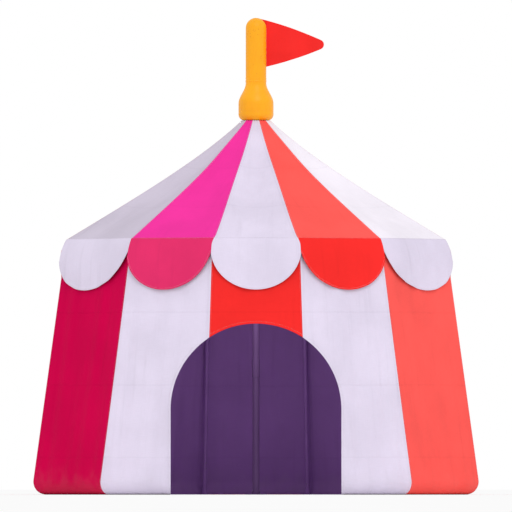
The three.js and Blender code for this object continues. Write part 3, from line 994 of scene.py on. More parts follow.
# Painted light and shade: the colours in each tuple are lit and shaded copies of one cloth. The
# roof's white, light and grey are one white, and its coral and pink are one red. The valance's red
# and raspberry are one red. The wall's red, coral and crimson are one red.
LIT_AND_SHADED_STRIPES = {
    "roof": (("roof_white", "roof_light", "roof_grey"), ("roof_coral", "roof_pink")),
    "valance": (("valance_white",), ("valance_red", "valance_raspberry")),
    "wall": (("wall_red", "wall_coral", "wall_crimson"), ("wall_white",)),
}


def stripe_slot(tier, bay):
    """The slot of a bay: even and odd bays have their own colours, which take turns. These are lit
    and shaded copies of one cloth colour: painted light and shade.
    """
    turn, odd = divmod(bay.number % BAY_COUNT, 2)
    colours = LIT_AND_SHADED_STRIPES[tier][odd]
    return colours[turn % len(colours)]


def sew_cloth(tier, cloth, grid, thickness, lining=None):
    """The grid has places across and down, how much the sewn bands stand up, and how far each point
    is from the edge that hangs free."""
    side, down, raised, free_edge = grid
    half = cloth.half(down)
    across = side * half
    slot = stripe_slot(tier, cloth.bay)
    piece = two_sided(
        f"{tier}_canvas_{cloth.bay.name}",
        cloth.at(side, down, raised), cloth.at(side, down, -thickness - raised),
        together(across, down, cloth.bay.number), together(half - np.abs(across), free_edge, 0.0),
        [CANVAS[slot], lining or CANVAS[slot]],
    )
    dress(piece, slot, f"{tier}_{cloth.bay.name}")
    width = 2 * float(np.max(half * np.abs(side)))
    length = float(np.max(down) - np.min(down))
    area = quad_area(together(across, down, 0.0))
    print(f"{piece.name} {width:.2f} x {length:.2f} m, {area:.2f} m2")
    return cloth


def sew_gore(bay):
    cloth = Cloth(bay, ROOF, roof_folds)
    down_row = rows_down(ROOF.length - EAVE_BAND, ROOF.length, ROOF_ROWS, EAVE_ROWS)
    side, raised = seam_columns(cloth.half(down_row), ROOF_COLUMNS)
    down = np.broadcast_to(down_row, side.shape)
    grid = side, down, raised, ROOF.length - down
    return sew_cloth("roof", cloth, grid, ROOF_CLOTH,
                     SHADE_PURPLE_LINING)


ROOF_CLOTHS = [sew_gore(bay) for bay in BAYS]

# %% [markdown]
# ## The valance
#
# Each scallop is a strip with square shoulders and a half-ellipse below them, which leans a
# little towards the back of the tent. A grid of plain rows would end raggedly on that curve,
# so this one is ruled instead: every column starts square to the free edge, crosses the hem
# there, and then runs up to the straight line where the valance is sewn to the roof. The hem
# is then the same width all the way round.

# %% Grids that are ruled from a curved edge
HEM_TURN = 0.06
EDGE_SAMPLES = 900


def trimmed_edge(cloth, across, down, count):
    """A curve on the flat cloth, cut off at the cloth's sides and cut into even steps."""
    inside = np.abs(across) <= cloth.half(down)
    edge = together(across[inside], down[inside])
    left, right = edge[0, 1], edge[-1, 1]
    return even_steps(
        np.vstack([(-cloth.half(left), left), edge, (cloth.half(right), right)]), count)


def inwards_from(edge):
    """The direction from a free edge into the cloth: square to it, and straight up at its ends."""
    step = np.gradient(edge, axis=0)
    step = step / np.linalg.norm(step, axis=1, keepdims=True)
    square = together(step[:, 1], -step[:, 0])
    walked = walk(edge)
    share = smooth(np.minimum(walked, walked[-1] - walked), 0.0, HEM_TURN)[:, None]
    mixed = share * square + (1 - share) * np.array([0.0, -1.0])
    return mixed / np.linalg.norm(mixed, axis=1, keepdims=True)


def ruled_grid(cloth, edge, hem_steps, hem_profile, hem_height, rows):
    """A grid from a straight top line down to a free edge, with a hem of even width there."""
    inwards = inwards_from(edge)
    lines = []
    for step in hem_steps:
        across, down = (edge + step * inwards).T
        lines.append((np.clip(across / cloth.half(down), -1, 1), down))
    side, down = lines[-1]
    side_top = np.linspace(-1, 1, len(edge))
    for share in np.linspace(0, 1, rows + 1)[1:]:
        lines.append((side + (side_top - side) * share, down * (1 - share)))
    sides, downs = (np.stack(part, axis=1) for part in zip(*reversed(lines)))
    sides[0], sides[-1] = -1, 1
    raised = np.zeros(sides.shape)
    raised[:, -len(hem_profile):] = hem_profile[::-1] * hem_height
    return sides, downs, raised


# %% Cut and hem the valance
VALANCE_CLOTH = 0.0035
SHOULDER_DROP = 0.200
SCALLOP_SKEW = 0.28
HEM_STEPS = np.array([0.0, 0.003, 0.036, 0.042])
HEM_PROFILE = np.array([0.2, 1.0, 1.0, 0.0])
HEM_HEIGHT = 0.0025
VALANCE_COLUMNS = 80
VALANCE_ROWS = 24


def scallop_edge(cloth, count):
    """The free edge of a scallop as (across, down) on the flat cloth, from left to right."""
    turn = np.linspace(-math.pi / 2, math.pi / 2, EDGE_SAMPLES)
    drop = (VALANCE_DROP - SHOULDER_DROP) * np.cos(turn)
    skew = SCALLOP_SKEW * math.sin(cloth.bay.middle)
    reach = math.hypot(1, skew)
    leaning = np.sin(turn) + abs(skew) * np.cos(turn)
    share = np.maximum.accumulate((2 * leaning - reach + 1) / (reach + 1))
    across = cloth.half(VALANCE.length) * (share if skew >= 0 else -share[::-1])
    return trimmed_edge(cloth, across, VALANCE.down_at(EAVE_Z - SHOULDER_DROP - drop), count)


def distance_to(edge, across, down):
    """The shortest way from each place on the flat cloth to its free edge."""
    return np.linalg.norm(together(across, down)[..., None, :] - edge, axis=-1).min(axis=-1)


def sew_scallop(bay):
    cloth = Cloth(bay, VALANCE, valance_folds)
    edge = scallop_edge(cloth, VALANCE_COLUMNS)
    side, down, raised = ruled_grid(cloth, edge, HEM_STEPS, HEM_PROFILE, HEM_HEIGHT, VALANCE_ROWS)
    free = distance_to(scallop_edge(cloth, EDGE_SAMPLES // 3), side * cloth.half(down), down)
    grid = side, down, raised, free
    return sew_cloth("valance", cloth, grid, VALANCE_CLOTH)


VALANCE_CLOTHS = [sew_scallop(bay) for bay in BAYS]

# %% [markdown]
# ## The walls and the doorway
#
# Nine of the wall panels are plain. The doorway takes a bite out of the other three. Its arch
# is cut straight through from the front, so its edge is worked out in front view and then
# carried onto the leaning cloth. Above the arch the front panel is ruled like a scallop. The
# panels beside it are laid row by row, each row starting where the arch lets it.

# %% Lay the wall panels
WALL_CLOTH = 0.005
WALL_COLUMNS = 50
WALL_ROWS = 64
FOOT_ROWS = 16
FOOT_BAND_Z = 0.325
BAND_FADE = (0.004, 0.060)
DOOR_STEPS = np.array([0.0, 0.004, 0.056, 0.063])
DOOR_PROFILE = np.array([0.2, 1.0, 1.0, 0.0])
DOOR_HEM_HEIGHT = 0.004
ARCH_COLUMNS = 46
ARCH_ROWS = 22
ARCH_STEPS = (1.39, 1.31, 0.0)
ARCH_LEAN_LIMIT = 0.55
FAR_AWAY = 9.0


def wall_rows():
    return rows_down(WALL.down_at(FOOT_BAND_Z), WALL.length, WALL_ROWS, FOOT_ROWS)


def plain_panel(cloth):
    down_row = wall_rows()
    side, raised = seam_columns(cloth.half(down_row), WALL_COLUMNS)
    return side, np.broadcast_to(down_row, side.shape), raised, np.full(side.shape, FAR_AWAY)


def arch_x(z):
    """Half the width of the doorway at a height, 0 above its top."""
    rise = np.clip(z - DOOR_SPRING_Z, 0, DOOR_HALF_WIDTH)
    return np.sqrt(DOOR_HALF_WIDTH ** 2 - rise ** 2)


def arch_share(z):
    """How much of a step sideways goes away from the arch, with a limit near its top."""
    return np.clip(arch_x(z) / DOOR_HALF_WIDTH, ARCH_LEAN_LIMIT, 1)


def arch_edge(cloth, count):
    """The arch on the front panel as (across, down), from its left corner to its right one."""
    x = np.linspace(-DOOR_HALF_WIDTH, DOOR_HALF_WIDTH, EDGE_SAMPLES)
    z = DOOR_SPRING_Z + np.sqrt(DOOR_HALF_WIDTH ** 2 - x ** 2)
    return trimmed_edge(cloth, x, WALL.down_at(z), count)


def arch_panel(cloth):
    edge = arch_edge(cloth, ARCH_COLUMNS)
    side, down, raised = ruled_grid(cloth, edge, DOOR_STEPS, DOOR_PROFILE, DOOR_HEM_HEIGHT,
                                    ARCH_ROWS)
    return side, down, raised, np.maximum(past_doorway(cloth.at(side, down)), 0)


def door_start(down):
    """Where the rows of the panel on the right of the doorway start, and their heights."""
    left, right = Cloth(BAYS[1], WALL, wall_folds).corners(down)
    z = left[..., 2]
    start = 2 * (arch_x(z) - left[..., 0]) / (right[..., 0] - left[..., 0]) - 1
    cut = z < DOOR_SPRING_Z + DOOR_HALF_WIDTH
    return np.where(cut, np.maximum(start, -1), -1), z


def side_panel(cloth):
    """A panel beside the doorway: a hem along the arch and a seam along the other corner."""
    near_top = WALL.down_at(DOOR_SPRING_Z + np.array(ARCH_STEPS))
    down_row = np.sort(np.concatenate([wall_rows(), near_top]))
    start, z = door_start(down_row)
    half = cloth.half(down_row)
    widen = np.where(start > -1, 1 / arch_share(z), 1)
    hem = start + DOOR_STEPS[:, None] * widen / half
    seam = 1 - SEAM_STEPS[::-1, None] / half
    share = np.linspace(0, 1, WALL_COLUMNS)[1:-1, None]
    side = np.vstack([hem, hem[-1] + (seam[0] - hem[-1]) * share, seam])
    height = band_heights(DOOR_PROFILE * DOOR_HEM_HEIGHT, WALL_COLUMNS, SEAM_PROFILE * SEAM_HEIGHT)
    raised = np.broadcast_to(height[:, None], side.shape)
    down = np.broadcast_to(down_row, side.shape)
    if cloth.bay.number < 0:
        side, down, raised = -side[::-1], down[::-1], raised[::-1]
    return side, down, raised, np.maximum(past_doorway(cloth.at(side, down)), 0)


def sew_wall(bay):
    cloth = Cloth(bay, WALL, wall_folds)
    lay_panel = plain_panel
    if bay.number in DOOR_BAYS:
        lay_panel = side_panel if bay.number else arch_panel
    side, down, raised, free = lay_panel(cloth)
    raised = raised * smooth(WALL.at(down)[1], *BAND_FADE)
    grid = side, down, raised, free
    return sew_cloth("wall", cloth, grid, WALL_CLOTH, SHADE_PURPLE_LINING)


WALL_CLOTHS = [sew_wall(bay) for bay in BAYS]

# %% [markdown]
# ## The finial
#
# The finial is spun metal under thick orange-yellow enamel: a round shaft with a domed top, on
# a bell foot that covers the crown. It is turned on a lathe here as well, from the same arcs
# as the frame's solid, with many more steps, two fine beads above the flare and two scribed
# lines near the foot.

# %% Paint and steel
PAINT_NOISE = (2.2, 4.0)
PAINT_RANGE = (0.95, 1.04)
BRUSH_STRETCH = (60.0, 60.0, 3.0)
BRUSH_DETAIL = 3.0
BRUSH_RANGE = (0.985, 1.015)
CHIP_NOISE = (26.0, 6.0)
CHIP_PATCH_NOISE = (1.7, 2.0)
CHIP_PATCH_SHARE = 0.55
CHIP_SHOWS = (0.985, 1.01)
CHIP_ROUGHNESS = 0.3
PAINT_ROUGHNESS = (0.36, 0.48)
PEEL_NOISE = (90.0, 2.0)
PEEL_SHARE = 0.25
PEEL_HEIGHT = 0.0006
PAINT_SHINE = 0.2
COAT_ROUGHNESS = 0.25
GOLD_GROUND = (0.62, 0.20, 0.02, 1)
STEEL_GROUND = (0.20, 0.18, 0.20, 1)
# How much darker the king pole is painted than the other steel: painted shade.
KING_SHADE_GAIN = 0.42


def paint_group():
    """Enamel with brush-fine streaks, soft blotches and chips that let the ground coat through."""
    tree, given, result = new_group(
        "enamel", "Colour Ground Place Wear", "Colour Roughness Height")
    where = given["Place"]
    blotch = wander(tree, noise(tree, where, *PAINT_NOISE), *PAINT_RANGE)
    brushed = noise(tree, where, 1.0, BRUSH_DETAIL, BRUSH_STRETCH)
    brushed = wander(tree, brushed, *BRUSH_RANGE)
    paint = scaled(tree, given["Colour"], product(tree, blotch, brushed))
    chip = noise(tree, where, *CHIP_NOISE)
    patch = noise(tree, where, *CHIP_PATCH_NOISE)
    chips = ramp(tree, total(tree, chip, product(tree, patch, CHIP_PATCH_SHARE)), *CHIP_SHOWS)
    chips = product(tree, chips, given["Wear"])
    rough = total(tree, wander(tree, patch, *PAINT_ROUGHNESS),
                  product(tree, chips, CHIP_ROUGHNESS), clamp=True)
    peel = product(tree, noise(tree, where, *PEEL_NOISE), PEEL_SHARE)
    feed(tree, result, {
        "Colour": blend(tree, chips, paint, given["Ground"]),
        "Roughness": rough, "Height": maths(tree, "SUBTRACT", peel, chips),
    })
    return tree


ENAMEL = paint_group()


def enamel_material(name, colour, ground, wear, coat):
    material, tree, shader = new_material(name)
    paint = use_group(tree, ENAMEL, {
        "Colour": colour, "Ground": ground, "Place": object_place(tree), "Wear": wear,
    })
    feed(tree, shader, {
        "Base Color": paint["Colour"], "Roughness": paint["Roughness"],
        "Normal": bumped(tree, PEEL_HEIGHT, paint["Height"]),
        "Specular IOR Level": PAINT_SHINE,
        "Coat Weight": coat, "Coat Roughness": COAT_ROUGHNESS,
    })
    return material


GOLD = enamel_material("enamel_gold", dyed("finial_gold"), GOLD_GROUND, wear=0.5, coat=0.10)
# The steel takes the lining's purple, which is painted shade, so the poles sink into the shade seen
# through the doorway. The king pole gets a darker copy of it, more painted shade, so that near the
# ring lamp it is no lighter than the lining behind it.
STEEL = enamel_material("enamel_steel", dyed("frame_steel"), STEEL_GROUND, wear=0.8, coat=0.0)
KING_STEEL_SHADED = enamel_material("enamel_king_pole_shaded", dyed("frame_steel", KING_SHADE_GAIN), STEEL_GROUND,
                             wear=0.5, coat=0.0)
print("paints:", ", ".join(paint.name for paint in (GOLD, STEEL, KING_STEEL_SHADED)))

# %% Turn the finial
FINIAL_FOOT = 0.351
FINIAL_FOOT_ROUND = 0.125
DRUM_BOTTOM_Z = 7.630
FLARE_BOTTOM_Z = 7.840
FLARE_TOP_Z = 8.255
COLLAR_Z = (8.260, 8.375)
SHAFT_BOTTOM_Z = 8.41
SHAFT_RADIUS = 0.206
FINIAL_TOP_Z = 9.560
DOME_BOTTOM_Z = FINIAL_TOP_Z - SHAFT_RADIUS
FINIAL_SIDES = 112
FOOT_STEPS = 14
DRUM_STEPS = 46
FLARE_STEPS = 26
COLLAR_STEPS = 30
SHAFT_STEPS = 12
DOME_STEPS = 18
RIVET_Z = 7.745
FINIAL_TIP = (0.004, FINIAL_TOP_Z)
BEADS = (
    (8.290, 0.014, 0.0050), (8.340, 0.010, 0.0035),
    (7.665, 0.004, -0.0030), (7.690, 0.004, -0.0030),
)


def lathe(name, profile, sides, material, axis=lambda z: (0.0, 0.0)):
    """Turns (radius, height) points into a closed round piece. axis moves the centre by height."""
    points = np.concatenate([circle(radius, z, sides, axis(z)) for radius, z in profile])
    index = np.arange(len(points)).reshape(len(profile), sides)
    after = np.roll(index, -1, axis=1)
    quads = together(index[:-1], after[:-1], after[1:], index[1:]).reshape(-1, 4)
    faces = [*quads, index[0][::-1], index[-1]]
    return make_object(name, points, faces, [material])


def finial_profile():
    rise = np.linspace(0, 1, FLARE_STEPS)[1:]
    ease = (1 - np.cos(math.pi * rise)) / 2
    profile = np.vstack([
        arc((FINIAL_FOOT - FINIAL_FOOT_ROUND, CROWN_Z + FINIAL_FOOT_ROUND), FINIAL_FOOT_ROUND,
            np.linspace(-math.pi / 2, 0, FOOT_STEPS)),
        together(FINIAL_FOOT, np.linspace(DRUM_BOTTOM_Z, FLARE_BOTTOM_Z, DRUM_STEPS)),
        together(FINIAL_FOOT + (SHAFT_RADIUS - FINIAL_FOOT) * ease,
                 FLARE_BOTTOM_Z + (FLARE_TOP_Z - FLARE_BOTTOM_Z) * rise),
        together(SHAFT_RADIUS, np.linspace(*COLLAR_Z, COLLAR_STEPS)),
        together(SHAFT_RADIUS, np.linspace(SHAFT_BOTTOM_Z, DOME_BOTTOM_Z, SHAFT_STEPS)),
        arc((0.0, DOME_BOTTOM_Z), SHAFT_RADIUS, np.linspace(0, math.pi / 2, DOME_STEPS)[1:-1]),
        FINIAL_TIP,
    ])
    for at, wide, tall in BEADS:
        profile[:, 0] += tall * np.exp(-((profile[:, 1] - at) / wide) ** 2)
    return profile


finial = lathe("finial_enamelled", finial_profile(), FINIAL_SIDES, GOLD)
dress(finial, "finial_gold", "finial")
print("finial faces:", len(finial.data.polygons))

# %% [markdown]
# ## The pennant
#
# The pennant is one piece of red bunting with a rounded tip, sewn to a stiff heading along
# the shaft. It hangs in a light wind, so a slow wave runs out along it and grows towards the
# tip. Its grid is ruled between its lower and its upper edge.

# %% Cut and hem the pennant
PENNANT_TOP_Z = 9.540
PENNANT_BOTTOM_Z = 8.580
PENNANT_TIP_X = 1.362
PENNANT_TIP_Z = 9.024
PENNANT_TIP_RADIUS = 0.100
PENNANT_TIP_SAMPLES = 66
PENNANT_TIP_END = 0.05
PENNANT_EDGE_SAMPLES = 400
PENNANT_TOP_ANGLE = math.radians(24.4)
PENNANT_BOTTOM_ANGLE = math.radians(22.3)
PENNANT_CLOTH = 0.005
PENNANT_COLUMNS = 90
PENNANT_ROWS = 34
PENNANT_BOW_COLUMNS = 14
PENNANT_HEM = np.array([0.0, 0.003, 0.026, 0.031])
PENNANT_HEM_HEIGHT = 0.002
HEADING_EDGE = (0.060, 0.066)
PENNANT_WAVE = 0.040
PENNANT_WAVE_LENGTH = 0.62
PENNANT_WAVE_LEAN = 1.4
PENNANT_WAVE_FADE = (0.05, 0.7)
DROOP = 0.012
DROOP_LENGTH = 0.55
DROOP_FADE = (0.0, 0.3)


def hoist_reach(z):
    """How far out the shaft and its dome reach at a height."""
    above = np.clip(z - DOME_BOTTOM_Z, 0, None)
    return np.sqrt(np.maximum((SHAFT_RADIUS + SEAM_GAP) ** 2 - above ** 2, 0))


def pennant_edge(hoist_z, tip_side, angle):
    """The lower (tip_side -1) or upper (1) edge of the pennant, from the shaft to the tip. It
    runs into the round tip at an angle."""
    turn = np.linspace(math.pi / 2 - angle, PENNANT_TIP_END, PENNANT_TIP_SAMPLES)
    tip = arc((PENNANT_TIP_X - PENNANT_TIP_RADIUS, PENNANT_TIP_Z), PENNANT_TIP_RADIUS,
              tip_side * turn)
    start, end = np.array([hoist_reach(hoist_z), hoist_z]), tip[0]
    bend = end - (end[0] - start[0]) / 2 * np.array([1.0, -tip_side * math.tan(angle)])
    share = np.linspace(0, 1, PENNANT_EDGE_SAMPLES)[:, None]
    curve = (1 - share) ** 2 * start + 2 * share * (1 - share) * bend + share ** 2 * end
    return even_steps(np.vstack([curve, tip[1:]]), PENNANT_COLUMNS)


def pennant_wave(x, z):
    reach, rise = x - SHAFT_RADIUS, z - PENNANT_TIP_Z
    turn = FULL_TURN * reach / PENNANT_WAVE_LENGTH + PENNANT_WAVE_LEAN * rise
    wave = PENNANT_WAVE * np.sin(turn) * smooth(reach, *PENNANT_WAVE_FADE)
    return wave + DROOP * np.sin(FULL_TURN * rise / DROOP_LENGTH) * smooth(reach, *DROOP_FADE)


def pennant_grid():
    """Flat points of the pennant, the height of its bands and the distance to its edges."""
    lower = pennant_edge(PENNANT_BOTTOM_Z, -1, PENNANT_BOTTOM_ANGLE)
    upper = pennant_edge(PENNANT_TOP_Z, 1, PENNANT_TOP_ANGLE)
    tall = np.linalg.norm(upper - lower, axis=1)
    squeeze = np.minimum(1, SEAM_SHARE * tall / PENNANT_HEM[-1])
    edge = PENNANT_HEM[:, None] * squeeze / tall
    middle = np.linspace(0, 1, PENNANT_ROWS)[1:-1, None] * (1 - 2 * edge[-1]) + edge[-1]
    share = np.vstack([edge, middle, 1 - edge[::-1]]).T[..., None]
    flat = lower[:, None] * (1 - share) + upper[:, None] * share
    bow = hoist_reach(flat[0, :, 1]) - flat[0, :, 0]
    near_hoist = 1 - smooth(np.arange(PENNANT_COLUMNS), 0, PENNANT_BOW_COLUMNS)
    flat[..., 0] += near_hoist[:, None] * bow
    hem = band_heights(HEM_PROFILE, PENNANT_ROWS, HEM_PROFILE)
    heading = 1 - smooth(flat[..., 0] - SHAFT_RADIUS, *HEADING_EDGE)
    margin = np.minimum(share[..., 0], 1 - share[..., 0]) * tall[:, None]
    return flat, np.maximum(hem, heading) * PENNANT_HEM_HEIGHT, margin


def sew_pennant():
    flat, raised, margin = (part[:, ::-1] for part in pennant_grid())
    x, z = flat[..., 0], flat[..., 1]
    y = pennant_wave(x, z)
    half = PENNANT_CLOTH / 2 + raised
    piece = two_sided("pennant_bunting", together(x, y - half, z), together(x, y + half, z),
                      together(z, x, 0.0), together(x - SHAFT_RADIUS, margin, 0.0), [BUNTING])
    dress(piece, "pennant_red", "pennant")
    area = quad_area(together(x, 0.0, z)[:, ::-1])
    size = (float(np.ptp(x)), float(np.ptp(z)))
    print(f"pennant {size[0]:.2f} x {size[1]:.2f} m, {area:.2f} m2")


sew_pennant()

# %% [markdown]
# ## The poles
#
# The king pole is two lengths of steel tube with a sleeve where they join, a base plate below
# and a collar under the crown ring. The side poles are thinner, lean with the walls, and
# stand on round plates. All are turned on the lathe: a leaning pole is the same lathe with
# its centre moved a little at each height.

# %% Poles
KING_RADIUS = 0.070
KING_PLATE = (0.220, 0.016)
KING_SHOE = (0.088, 0.066)
KING_SLEEVE = (0.079, 2.35, 2.71)
KING_COLLAR = (0.120, 0.030)
KING_HEAD_RADIUS = 0.060
KING_SIDES = 48
POLE_RADIUS = 0.038
POLE_PLATE = (0.090, 0.012)
POLE_SHOE = (0.046, 0.16)
POLE_CLAMP = (0.044, 0.14, 0.05)
POLE_FOOT_HALF_WIDTH = 4.080
POLE_SIDES = 24
END_RADIUS = 0.003
ARRIS = 0.002
PART_STEPS = 4
RING_HALF_WIDTH = 3.714


def stepped(start, *parts):
    """A lathe profile from stacked (radius, top) parts, with every edge softened."""
    profile = [(END_RADIUS, start)]
    bottom = start
    for radius, top in parts:
        soft = min(ARRIS, (top - bottom) / 3)
        profile += [(radius - soft, bottom), (radius, bottom + soft)]
        profile += [(radius, z) for z in np.linspace(bottom, top, PART_STEPS)[1:-1]]
        profile += [(radius, top - soft), (radius - soft, top)]
        bottom = top
    return profile + [(END_RADIUS, bottom)]


def make_king_pole():
    low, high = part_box("king_pole")
    collar_radius, collar_tall = KING_COLLAR
    collar_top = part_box("crown_ring")[0].z - SEAM_GAP
    sleeve_radius, sleeve_bottom, sleeve_top = KING_SLEEVE
    profile = stepped(
        low.z, KING_PLATE, KING_SHOE,
        (KING_RADIUS, sleeve_bottom), (sleeve_radius, sleeve_top),
        (KING_RADIUS, collar_top - collar_tall), (collar_radius, collar_top),
        (KING_HEAD_RADIUS, high.z),
    )
    dress(lathe("king_pole_steel", profile, KING_SIDES, KING_STEEL_SHADED), "frame_steel", "king_pole")


POLE_CORNERS = {}
for number in range(1, BACK_BAY):
    for bay in (BAYS[number], BAYS[-number]):
        POLE_CORNERS[f"side_pole_{bay.name}"] = bay.middle + math.copysign(bay.half, bay.middle)


def pole_foot(angle):
    return corner_point(splayed_angle(angle, 0), POLE_FOOT_HALF_WIDTH, 0)


def lean_side_pole(node, angle):
    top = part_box(node)[1].z
    ring_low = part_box("eave_ring")[0].z
    foot = pole_foot(angle)
    head = corner_point(splayed_angle(angle, top), RING_HALF_WIDTH, top)
    clamp_radius, clamp_bottom, clamp_top = POLE_CLAMP
    profile = stepped(
        0.0, POLE_PLATE, POLE_SHOE, (POLE_RADIUS, ring_low - clamp_bottom),
        (clamp_radius, ring_low - clamp_top), (POLE_RADIUS, top),
    )
    piece = lathe(f"{node}_steel", profile, POLE_SIDES, STEEL,
                  axis=lambda z: foot + (head - foot) * (z / top))
    dress(piece, "frame_steel", node)


make_king_pole()
for pole_node, pole_angle in POLE_CORNERS.items():
    lean_side_pole(pole_node, pole_angle)
for ring_node in ("eave_ring", "crown_ring"):
    ring_materials = frame["nodes"][ring_node].data.materials
    ring_materials.clear()
    ring_materials.append(STEEL)
print("poles:", len(POLE_CORNERS) + 1)

# %% [markdown]
# ## Stitches and bolts, laid by Geometry Nodes
#
# Thousands of stitches hold the seams. Each is only a few faces, so Geometry Nodes can lay
# them all: a path becomes a curve, the curve is cut at even steps, and at each step one small
# bead of thread is placed along it. The path carries the direction that the cloth faces, so
# every stitch lies flat. A second small tree sets a bolt on each point of a mesh and turns it
# to face the way the point says. What the trees make is turned into plain meshes.

# %% The stitch tree and the bolt tree
BEAD = {"Segments": 4, "Rings": 3, "Radius": 0.5}
BOLT_HEAD = {"Radius": 1.0, "Depth": 1.2}
WASHER = {"Vertices": 16, "Radius": 1.6, "Depth": 0.3}


def new_layer(name, inputs):
    """An empty geometry tree, what it is given and puts out, and the way its points face."""
    group = new_group(name, inputs, "Geometry", "GeometryNodeTree")
    way = add(group[0], "GeometryNodeInputNamedAttribute", {"Name": "facing"},
              data_type="FLOAT_VECTOR")
    return *group, way.outputs[0]


def aligned(tree, axis, vector, start=(0.0, 0.0, 0.0), pivot="AUTO"):
    """The turn that lays an axis along a vector, from a turn that it starts with."""
    return add(tree, "FunctionNodeAlignRotationToVector", {"Rotation": start, "Vector": vector},
               axis=axis, pivot_axis=pivot).outputs[0]


def lay_copies(tree, result, points, shape, turn, sizes, material):
    """Sets a shape on every point, makes the copies real and gives them their material."""
    size = add(tree, "ShaderNodeCombineXYZ", dict(zip("XYZ", sizes)))
    laid = add(tree, "GeometryNodeInstanceOnPoints", {
        "Points": points, "Instance": shape, "Rotation": turn, "Scale": size.outputs[0],
    })
    real = add(tree, "GeometryNodeRealizeInstances", {"Geometry": laid.outputs[0]})
    shaded = add(tree, "GeometryNodeSetMaterial", {
        "Geometry": real.outputs[0], "Material": material,
    })
    feed(tree, result, {"Geometry": shaded.outputs[0]})


def stitch_tree():
    tree, given, result, way = new_layer("lay_stitches", "Geometry Pitch Length Width Thread")
    curve = add(tree, "GeometryNodeMeshToCurve", {"Mesh": given["Geometry"]})
    cut = add(tree, "GeometryNodeResampleCurve", {
        "Curve": curve.outputs[0], "Length": given["Pitch"],
    }, mode="LENGTH")
    bead = add(tree, "GeometryNodeMeshUVSphere", BEAD)
    along = aligned(tree, "X", add(tree, "GeometryNodeInputTangent").outputs[0])
    flat = aligned(tree, "Z", way, along, "X")
    lay_copies(tree, result, cut.outputs[0], bead.outputs["Mesh"], flat,
               (given["Length"], given["Width"], given["Width"]), given["Thread"])
    return tree


def bolt_tree():
    tree, given, result, way = new_layer("set_bolts", "Geometry Head Sides Metal")
    head = add(tree, "GeometryNodeMeshCylinder", {"Vertices": given["Sides"], **BOLT_HEAD})
    washer = add(tree, "GeometryNodeMeshCylinder", WASHER)
    both = add(tree, "GeometryNodeJoinGeometry")
    for part in (washer, head):
        tree.links.new(part.outputs["Mesh"], both.inputs[0])
    lay_copies(tree, result, given["Geometry"], both.outputs[0], aligned(tree, "Z", way),
               (given["Head"],) * 3, given["Metal"])
    return tree


def run_tree(name, points, edges, ways, tree, values):
    """Runs a tree on points or loose lines that face some ways. Gives a plain object."""
    source = bpy.data.meshes.new(name)
    source.from_pydata(points.tolist(), edges, [])
    give_vectors(source, "facing", ways)
    carrier = link_new(name + "_carrier", source)
    modifier = carrier.modifiers.new("nodes", "NODES")
    modifier.node_group = tree
    for item in tree.interface.items_tree:
        if item.item_type == "SOCKET" and item.in_out == "INPUT" and item.name in values:
            modifier[item.identifier] = values[item.name]
    ready = carrier.evaluated_get(bpy.context.evaluated_depsgraph_get())
    mesh = bpy.data.meshes.new_from_object(ready)
    bpy.data.objects.remove(carrier)
    mesh.name = name
    mesh.polygons.foreach_set("use_smooth", np.ones(len(mesh.polygons), bool))
    return link_new(name, mesh)


STITCHES = stitch_tree()
BOLTS = bolt_tree()
print("nodes:", len(STITCHES.nodes), "to lay stitches,", len(BOLTS.nodes), "to set bolts")

# %% Thread every seam
STITCH_INSET = 0.021
STITCH_LENGTH = 0.018
STITCH_WIDTH = 0.005
ROOF_PITCH = 0.027
WALL_PITCH = 0.032
VALANCE_PITCH = 0.026
HEM_STITCH_INSET = 0.028
LAP_STITCH_DOWN = 0.012
LAP_STITCH_SIDE = 0.99
DOOR_STITCH_INSET = 0.046
DOOR_STITCH_FOOT_Z = 0.06
ROOF_STITCH_ENDS = (0.10, 0.03)
WALL_STITCH_ENDS = (0.15, 0.20)
ARCH_STITCH_ENDS = (0.15, 0.05)
PATH_STEPS = 130
THREAD_DARK = (0.50, 0.45, 0.47, 1)
THREAD_LIGHT = (0.72, 0.67, 0.70, 1)
THREAD_ROUGHNESS = 0.75
THREAD_SHINE = 0.2
TWIST_NOISE = (240.0, 2.0)
TWIST_SHOWS = (0.35, 0.65)


def thread_material():
    """Waxed thread: off-white, with the dark twist of its plies."""
    material, tree, shader = new_material("waxed_thread")
    twist = ramp(tree, noise(tree, object_place(tree), *TWIST_NOISE), *TWIST_SHOWS)
    feed(tree, shader, {
        "Base Color": blend(tree, twist, THREAD_DARK, THREAD_LIGHT),
        "Roughness": THREAD_ROUGHNESS, "Specular IOR Level": THREAD_SHINE,
    })
    return material


THREAD = thread_material()


def on_cloth(cloth, side, down, lift):
    """A path on a cloth: its points, and the way that the cloth faces there."""
    return cloth.at(side, down, lift), cloth.facing(side, down)


def seam_paths(cloth, low, ends, sides=(-1, 1)):
    """A row of stitches down the sewn band at each side of a cloth, as far down as low, less
    a bit at both ends."""
    down = np.linspace(ends[0], low - ends[1], PATH_STEPS)
    half = cloth.half(down)
    squeeze = seam_squeeze(half)
    return [on_cloth(cloth, sign * (1 - STITCH_INSET * squeeze / half), down,
                     SEAM_HEIGHT * squeeze) for sign in sides]


def edge_path(cloth, edge, inset, height):
    """A row of stitches along a hem."""
    across, down = (edge + inset * inwards_from(edge)).T
    return on_cloth(cloth, across / cloth.half(down), down, height)


def door_path(cloth):
    """A row of stitches down the hem of a panel beside the doorway."""
    top = WALL.down_at(DOOR_SPRING_Z + ARCH_STEPS[1])
    down = np.linspace(top, WALL.down_at(DOOR_STITCH_FOOT_Z), PATH_STEPS)
    start, z = door_start(down)
    side = start + DOOR_STITCH_INSET / arch_share(z) / cloth.half(down)
    return on_cloth(cloth, cloth.bay.number * side, down, DOOR_HEM_HEIGHT)


